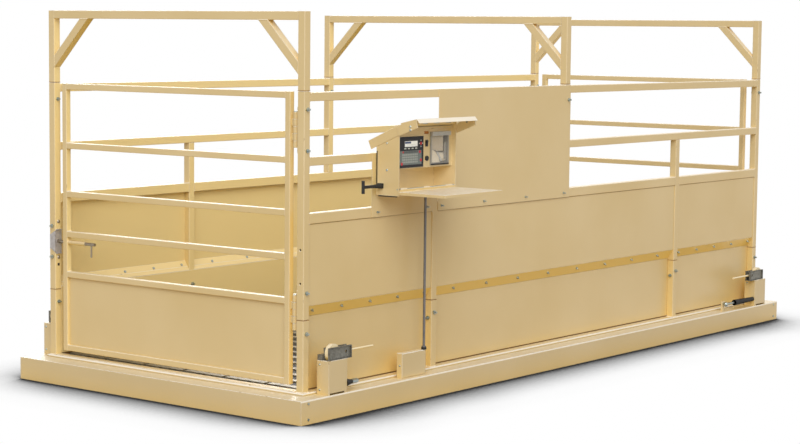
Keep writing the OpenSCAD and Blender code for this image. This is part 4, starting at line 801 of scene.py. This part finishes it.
BORDER_SIDE = 0.011
BORDER_TOP = 0.009
x, top = case_low[0], case_high[2]
inner = glass_low[0] + BORDER_SIDE
plates_mesh("window_border", [square(glass_low[0], inner, glass_low[2], glass_high[2]),
                              square(inner, glass_high[0], glass_high[2] - BORDER_TOP, glass_high[2])],
            glass - 0.0003, glass, moulded, "crate")
plates_mesh("heading_bar", [square(x + 0.068, x + 0.126, top - 0.041, top - 0.029)], glass - 0.0002, glass,
            ink("blue_crystal_bar", "#3C4F7D", 0.2), "crate")
rules = [square(x + 0.068, x + 0.184, top - 0.0475 - drop, top - 0.046 - drop) for drop in (0, 0.008)]
plates_mesh("pale_rules", rules, glass - 0.0002, glass, ink("grey_crystal_rule", "#A9B2B3", 0.2),
            "crate")

# Printer
# Grey moulded plastic case with a clear acrylic window over the paper roll.
# The roll is thermal paper, matt and a little creamy.
case_grey = two_tone("grey_moulded_plastic", "#8E8C86", "#A3A19A", 4, 3, roughness=0.45)
dress(case_grey, "printer_case")
acrylic = two_tone("clear_acrylic", "#C6C6C4", "#D6D6D4", 90, 2, roughness=0.05, ior=1.49, alpha=0.1)
dress(acrylic, "printer_window")
paper = two_tone("thermal_paper", "#E6DCC6", "#F1E9D8", 3, 4, roughness=0.8)
dress(paper, "paper_roll")

# Behind the window the paper comes off the roll in a curve to the slot, between a steel guide and a
# side plate. A bright tear bar runs across the top of the case. Places count in shares of the window.
glass_low, glass_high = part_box("printer_window")
wide, tall = glass_high[0] - glass_low[0], glass_high[2] - glass_low[2]
back = glass_high[1]


def in_window(*points):
    return [[(glass_low[0] + wide * u, glass_low[2] + tall * v) for u, v in points]]


web = in_window((0.01, 0.01), (0.58, 0.01), (0.5, 0.14), (0.37, 0.29), (0.26, 0.385), (0.16, 0.44),
                (0.01, 0.48))
plates_mesh("paper_web", web, back + 0.003, back + 0.0035, paper, "crate")
guide = in_window((0.34, 0.38), (0.44, 0.38), (0.74, 0.04), (0.62, 0.04))
plates_mesh("paper_guide", guide, back + 0.004, back + 0.007, plated_steel, "crate")
plate = in_window((0.83, 0.12), (0.985, 0.12), (0.985, 0.72), (0.83, 0.66))
plates_mesh("printer_side_plate", plate, back + 0.004, back + 0.006, case_grey, "crate")
card = in_window((0.0, 0.5), (0.0, 1.0), (0.82, 1.0), (0.82, 0.4), (0.42, 0.4))
plates_mesh("printer_back_card", card, back + 0.010, back + 0.0105, ink("warm_grey_card", "#C9BEAC", 0.6),
            "crate")

BAR_GAP = 0.0012
case_low, case_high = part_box("printer_case")
left, right, top, front = case_low[0] + 0.001, case_high[0] + 0.004, case_high[2], case_low[1]
bars = []
for i in range(3):
    start, end = (left + (right - left) * n / 3 for n in (i, i + 1))
    bars.append(square(start, end - BAR_GAP, top - 0.025, top))
plates_mesh("tear_bar", bars, front - 0.012, front - 0.0003, ink("satin_silver_plastic", "#A9ABAB", 0.3),
            "crate")
plates_mesh("window_sill", [square(case_low[0], case_high[0] - 0.003, case_low[2], case_low[2] + 0.009)],
            front - 0.003, front - 0.0003, moulded, "crate")

# Conduit
# Dull grey steel conduit, carrying the cell cable from the junction box to the enclosure.
# A black gland nut closes it at each end.
dress(two_tone("dull_grey_conduit", "#5F5E60", "#7C7A7A", 25, 4, metallic=0.5, roughness=0.45), "conduit")
gland, given, result = new_tree("gland_nut", Radius=0.0165, Height=0.014, Sides=12)
nut = add(gland, "GeometryNodeMeshCone", None,
          {"Vertices": given["Sides"], "Radius Top": given["Radius"], "Radius Bottom": given["Radius"],
           "Depth": given["Height"]})
stamp(gland, given, result, nut.outputs["Mesh"])
low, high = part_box("conduit")
x, y = (low[0] + high[0]) / 2, (low[1] + high[1]) / 2
spots = [((x, y, low[2] + 0.0005), (0, 0, 1)), ((x, y, high[2] - 0.0005), (0, 0, -1))]
grow("gland_nuts", gland, spots_mesh("gland_spots", spots), rubber, "crate", "black_rubber")

# Studio
# A pale floor that fades into a white backdrop, with a wide soft lamp from the camera's side and a
# weaker one behind. Rays from the camera and in gloss or glass see plain white, with a soft shadow
# on the floor close to the base.
FLOOR_REACH = 9
FADE_START = 4.5
FADE_END = 8.5
LARGER = {"operation": "MAXIMUM"}


# One for rays from the camera and in gloss or glass, nought for light on the object.
def seen_plainly(tree):
    ray = add(tree, "ShaderNodeLightPath").outputs
    mirror = add(tree, "ShaderNodeMath", LARGER, {0: ray["Is Glossy Ray"], 1: ray["Is Transmission Ray"]})
    seen = add(tree, "ShaderNodeMath", LARGER, {0: ray["Is Camera Ray"], 1: mirror.outputs["Value"]})
    return seen.outputs["Value"]


pale_floor = bpy.data.materials.new("pale_studio_floor")
pale_floor.use_nodes = True
tree = pale_floor.node_tree
tree.nodes.clear()
bounced = add(tree, "ShaderNodeBsdfDiffuse", None, {"Color": linear("#B39C5E")})
nearby = add(tree, "ShaderNodeAmbientOcclusion", {"samples": 16}, {"Distance": 0.66})
shadow = add(tree, "ShaderNodeMapRange", None,
             {"Value": nearby.outputs["AO"], "From Min": 0.64, "From Max": 0.97, "To Min": 0.04})
white = add(tree, "ShaderNodeEmission", None, {"Color": shadow.outputs["Result"], "Strength": 1.0})
chalky = add(tree, "ShaderNodeMixShader", None,
             {0: seen_plainly(tree), 1: bounced.outputs[0], 2: white.outputs[0]})
where = add(tree, "ShaderNodeTexCoord").outputs["Object"]
away = add(tree, "ShaderNodeVectorMath", {"operation": "LENGTH"}, {0: where})
gone = add(tree, "ShaderNodeMapRange", {"interpolation_type": "SMOOTHSTEP"},
           {"Value": away.outputs["Value"], "From Min": FADE_START, "From Max": FADE_END})
clear = add(tree, "ShaderNodeBsdfTransparent")
faded = add(tree, "ShaderNodeMixShader", None,
            {0: gone.outputs["Result"], 1: chalky.outputs[0], 2: clear.outputs[0]})
add(tree, "ShaderNodeOutputMaterial", None, {"Surface": faded.outputs[0]})
floor_mesh = bpy.data.meshes.new("studio_floor")
edges = [(x * FLOOR_REACH, y * FLOOR_REACH, 0) for x, y in ((-1, -1), (1, -1), (1, 1), (-1, 1))]
floor_mesh.from_pydata(edges, [], [(0, 1, 2, 3)])
floor_mesh.materials.append(pale_floor)
studio_floor = bpy.data.objects.new("studio_floor", floor_mesh)
bpy.context.scene.collection.objects.link(studio_floor)

world = bpy.data.worlds.new("soft_studio")
world.use_nodes = True
bpy.context.scene.world = world
tree = world.node_tree
tree.nodes.clear()
seen = seen_plainly(tree)
strength = add(tree, "ShaderNodeMapRange", None, {"Value": seen, "To Min": 0.5})
warmth = add(tree, "ShaderNodeMix", BLEND, {0: seen, 6: linear("#FFFAF2"), 7: (1, 1, 1, 1)})
sky = add(tree, "ShaderNodeBackground", None,
          {"Color": warmth.outputs[2], "Strength": strength.outputs["Result"]})
add(tree, "ShaderNodeOutputWorld", None, {"Surface": sky.outputs[0]})

LAMP_AIM = Vector((0, 0, 0.8))
for name, place, size, power in (("key_lamp", (-20.5, -18.5, 21.5), 30, 9900),
                                 ("back_lamp", (14, 17, 15), 12, 4900)):
    lamp = bpy.data.objects.new(name, bpy.data.lights.new(name, "AREA"))
    lamp.data.size = size
    lamp.data.energy = power
    lamp.location = place
    lamp.rotation_euler = (LAMP_AIM - Vector(place)).to_track_quat("-Z", "Y").to_euler()
    bpy.context.scene.collection.objects.link(lamp)

bpy.context.scene.view_settings.view_transform = "Standard"
